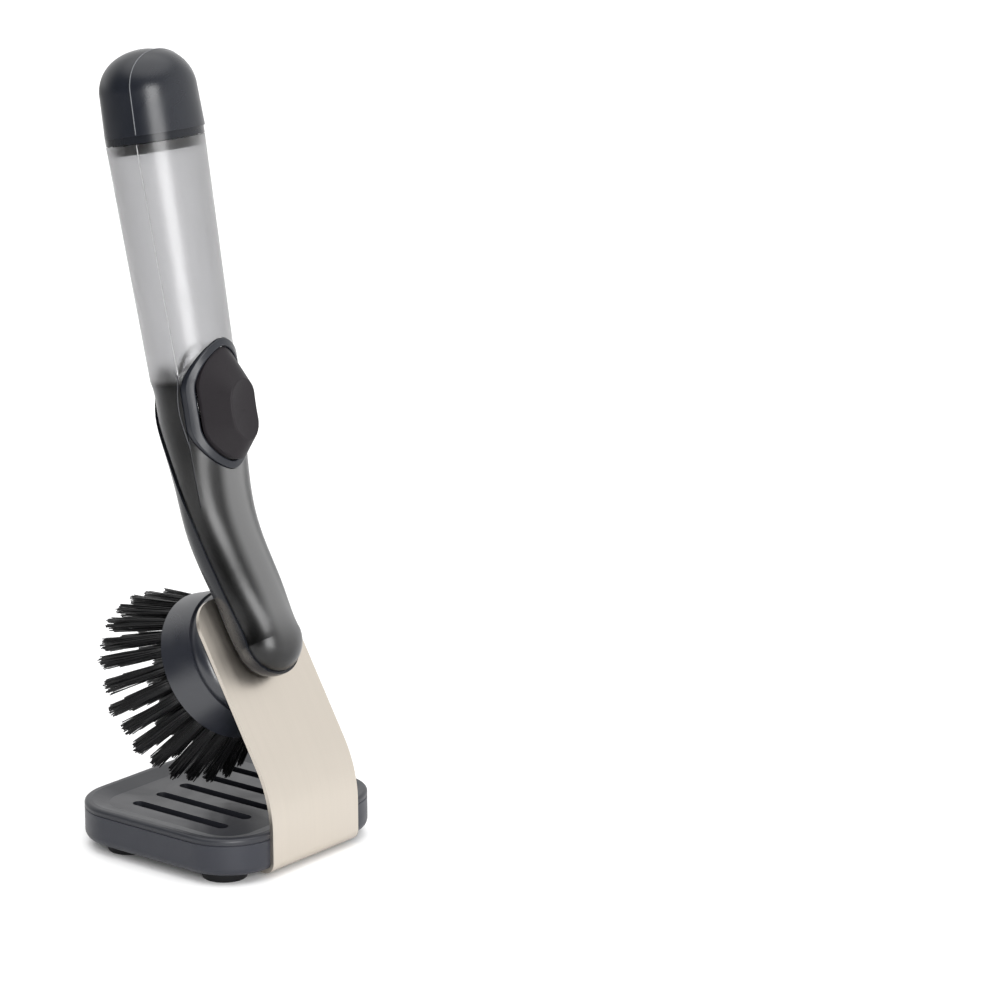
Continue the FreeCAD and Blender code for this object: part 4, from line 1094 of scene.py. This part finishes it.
    def _filament(self) -> bpy.types.NodeSocket:
        """Add one straight filament, a unit long and a unit in radius, noting how far along each point is.

        Returns:
            The filament's geometry socket.
        """
        sheet = self.sheet
        rod = sheet.add("GeometryNodeMeshCylinder", fill_type="TRIANGLE_FAN")
        sheet.feed(rod, Vertices=self.SIDES, Side_Segments=self.SEGMENTS, Fill_Segments=1)
        sheet.feed(rod, Radius=1.0, Depth=1.0)
        raised = sheet.feed(sheet.add("GeometryNodeTransform"), Geometry=rod.outputs["Mesh"],
                            Translation=(0.0, 0.0, 0.5))
        height = sheet.feed(sheet.add("ShaderNodeSeparateXYZ"),
                            Vector=sheet.add("GeometryNodeInputPosition").outputs[0])
        kept = sheet.add("GeometryNodeStoreNamedAttribute", data_type="FLOAT", domain="POINT")
        sheet.feed(kept, Geometry=raised.outputs[0], Name=self.ALONG, Value=height.outputs["Z"])
        return kept.outputs[0]


@dataclass
class BrushHead(Assembly):
    """The round head with its collar and four rings of tufts, in millimetres."""

    finishes: dict[str, Finish] = field(default_factory=lambda: {
        "head_cover": HEAD_SATIN,
        "head_collar": HEAD_SATIN,
        "tuft_plate": CHARCOAL,
        "outlet_valve": SEAL_RUBBER,
    })
    centre: Vector = field(default_factory=lambda: Vector((0.0, -17.894, 72.621)))
    lean: float = math.radians(60.0)
    root_depth: float = 17.2
    tip_depth: float = 42.8
    root_spread: float = 1.6
    tip_spread: float = 2.5
    thickness: float = 0.2
    unruly: float = 0.6
    rings: tuple[TuftRing, ...] = (
        TuftRing("bristles_outer", 26, 21.3, 33.2, 62, 11),
        TuftRing("bristles_middle", 20, 16.6, 26.0, 62, 23),
        TuftRing("bristles_inner", 14, 11.9, 18.6, 60, 37),
        TuftRing("bristles_centre", 9, 7.4, 11.4, 56, 41),
    )

    def build(self, wardrobe: Wardrobe) -> None:
        """Dress the head and plant its tufts.

        Args:
            wardrobe: The materials.
        """
        super().build(wardrobe)
        tree = TuftTree().tree
        for ring in self.rings:
            piece = self.planted(ring, tree, wardrobe.of(NYLON))
            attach(piece, Body.HEAD.value)
            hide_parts(ring.node)
            log.info("%s has %d filaments", piece.name, ring.tufts * ring.filaments)

    def place(self) -> Matrix:
        """Work out where the head's own frame lies.

        Returns:
            The matrix from the head's frame, in millimetres, to the object's frame, in metres.
        """
        return Matrix.Translation(self.centre * MM) @ Matrix.Rotation(self.lean, 4, "X") @ Matrix.Scale(MM, 4)

    def planted(self, ring: TuftRing, tree: bpy.types.NodeTree,
                material: bpy.types.Material) -> bpy.types.Object:
        """Run the tuft tree for one ring.

        Args:
            ring: The ring's sizes.
            tree: The tuft tree.
            material: The filaments' material.

        Returns:
            The ring's filaments as a plain mesh object.
        """
        sizes = {
            "Tufts": ring.tufts, "Filaments": ring.filaments,
            "Root circle": ring.root_circle, "Tip circle": ring.tip_circle,
            "Root spread": self.root_spread, "Tip spread": self.tip_spread,
            "Root depth": self.root_depth, "Tip depth": self.tip_depth,
            "Thickness": self.thickness, "Unruly": self.unruly,
            "Seed": ring.seed, "Material": material,
        }
        carrier = stood("tuft_carrier", bpy.data.meshes.new("tuft_carrier"))
        modifier = carrier.modifiers.new("tufts", "NODES")
        modifier.node_group = tree
        for item in tree.interface.items_tree:
            if item.in_out == "INPUT":
                modifier[item.identifier] = sizes[item.name]
        evaluated = carrier.evaluated_get(bpy.context.evaluated_depsgraph_get())
        mesh = bpy.data.meshes.new_from_object(evaluated)
        bpy.data.objects.remove(carrier)
        mesh.name = ring.node + "_filaments"
        mesh.transform(self.place())
        for name in (TuftTree.BOW, TuftTree.ALONG):
            if name in mesh.attributes:
                mesh.attributes.remove(mesh.attributes[name])
        mesh.shade_smooth()
        return stood(ring.node + "_filaments", mesh)


@dataclass(frozen=True)
class Glow:
    """A soft patch of light on the studio's walls.

    The edge runs from the cosine where the glow begins to the cosine where it is full.
    """

    name: str
    towards: Triple
    begins: float
    full: float
    strength: float


@dataclass(frozen=True)
class Softbox:
    """A soft panel of light: where it stands, what it faces, its size and its power."""

    name: str
    stands: Triple
    faces: Triple
    width: float
    height: float
    power: float

    def place(self) -> None:
        """Put the light in the scene."""
        lamp = bpy.data.lights.new(self.name, "AREA")
        lamp.shape = "RECTANGLE"
        lamp.size = self.width
        lamp.size_y = self.height
        lamp.energy = self.power
        holder = stood(self.name, lamp)
        holder.location = self.stands
        aim = Vector(self.faces) - Vector(self.stands)
        holder.rotation_euler = aim.to_track_quat("-Z", "Y").to_euler()
        holder.visible_camera = False


@dataclass
class Studio:
    """A pale floor, glowing walls, a key panel and the camera, in metres, degrees and watts.

    The floor looks pale to the camera and through clear plastic. To other rays it is darker far to the left.
    """

    shade: float = 0.05
    floor_size: float = 30.0
    floor_roughness: float = 0.7
    floor_colour: Triple = (0.93, 0.93, 0.93)
    floor_bounce: Triple = (0.88, 0.88, 0.88)
    floor_shade: Triple = (0.22, 0.22, 0.22)
    shade_beyond: float = -1.0
    bounce_from: float = -0.45
    camera_stands: Triple = (-0.943387, -0.862797, 0.457)
    camera_pitch: float = -14.74745
    camera_yaw: float = 51.91523
    lens: float = 138.87
    sensor: float = 36.0
    sight: float = 100.0
    glows: tuple[Glow, ...] = (
        Glow("backdrop", AWAY, -0.10, 0.55, 1.15),
        Glow("right wall", RIGHT, 0.10, 0.95, 1.3),
        Glow("ceiling", (0.0, 0.0, 1.0), 0.55, 0.92, 2.4),
    )
    key: Softbox = Softbox("key_panel", (-0.736, -0.946, 0.40), (0.0, 0.0, 0.30), 0.60, 0.75, 14.0)

    def build(self) -> None:
        """Set up the floor, the light and the camera."""
        self._floor()
        self._walls()
        self.key.place()
        self._camera()
        bpy.context.scene.view_settings.view_transform = "Standard"

    def _floor(self) -> None:
        """Lay the floor."""
        half = self.floor_size / 2
        square = [(x * half, y * half, 0.0) for x, y in ((-1, -1), (1, -1), (1, 1), (-1, 1))]
        mesh = bpy.data.meshes.new("floor")
        mesh.from_pydata(square, [], [(0, 1, 2, 3)])
        floor = stood("floor", mesh)
        material = bpy.data.materials.new("floor_white")
        material.use_nodes = True
        shader = material.node_tree.nodes["Principled BSDF"]
        shader.inputs["Roughness"].default_value = self.floor_roughness
        sheet = NodeSheet(material.node_tree)
        path = sheet.add("ShaderNodeLightPath").outputs
        seen = sheet.maths("MAXIMUM", path["Is Camera Ray"], path["Is Transmission Ray"])
        place = sheet.add("ShaderNodeTexCoord").outputs["Object"]
        side = sheet.arrow("DOT_PRODUCT", place, in1=RIGHT)
        lit = sheet.spread(side, self.shade_beyond, self.bounce_from, ends=Ends.SOFT)
        bounce = sheet.mixed(lit, self.floor_shade, self.floor_bounce)
        sheet.feed(shader, Base_Color=sheet.mixed(seen, bounce, self.floor_colour))
        mesh.materials.append(material)

    def _walls(self) -> None:
        """Light the studio from the glows on its walls."""
        world = bpy.data.worlds.new("room")
        world.use_nodes = True
        sheet = NodeSheet(world.node_tree)
        back = world.node_tree.nodes["Background"]
        way = sheet.add("ShaderNodeTexCoord").outputs["Generated"]
        total = self.shade
        for glow in self.glows:
            cosine = sheet.arrow("DOT_PRODUCT", way, in1=Vector(glow.towards).normalized())
            patch = sheet.spread(cosine, glow.begins, glow.full, 0.0, glow.strength, ends=Ends.SOFT)
            patch.node.label = glow.name
            total = sheet.maths("MAXIMUM", patch, total)
        back.inputs["Color"].default_value = (1.0, 1.0, 1.0, 1.0)
        sheet.feed(back, Strength=total)
        bpy.context.scene.world = world

    def _camera(self) -> None:
        """Stand the camera where the photograph was taken from."""
        lens = bpy.data.cameras.new("camera")
        lens.lens = self.lens
        lens.sensor_width = self.sensor
        lens.clip_end = self.sight
        camera = stood("camera", lens)
        camera.location = self.camera_stands
        camera.rotation_euler = (math.radians(90.0 + self.camera_pitch), 0.0, math.radians(-self.camera_yaw))
        bpy.context.scene.camera = camera


def main() -> None:
    """Dress every part, set up the studio and log what each piece wears and how many lines and filaments were
    made.
    """
    logging.basicConfig(level=logging.INFO)
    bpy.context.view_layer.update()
    wardrobe = Wardrobe()
    for kind in (DrainerStand, Handle, FineEdges, ThumbButton, ReturnSpring, FillCap, BrushHead):
        kind().build(wardrobe)
    Studio().build()


if __name__ == "__main__":
    main()
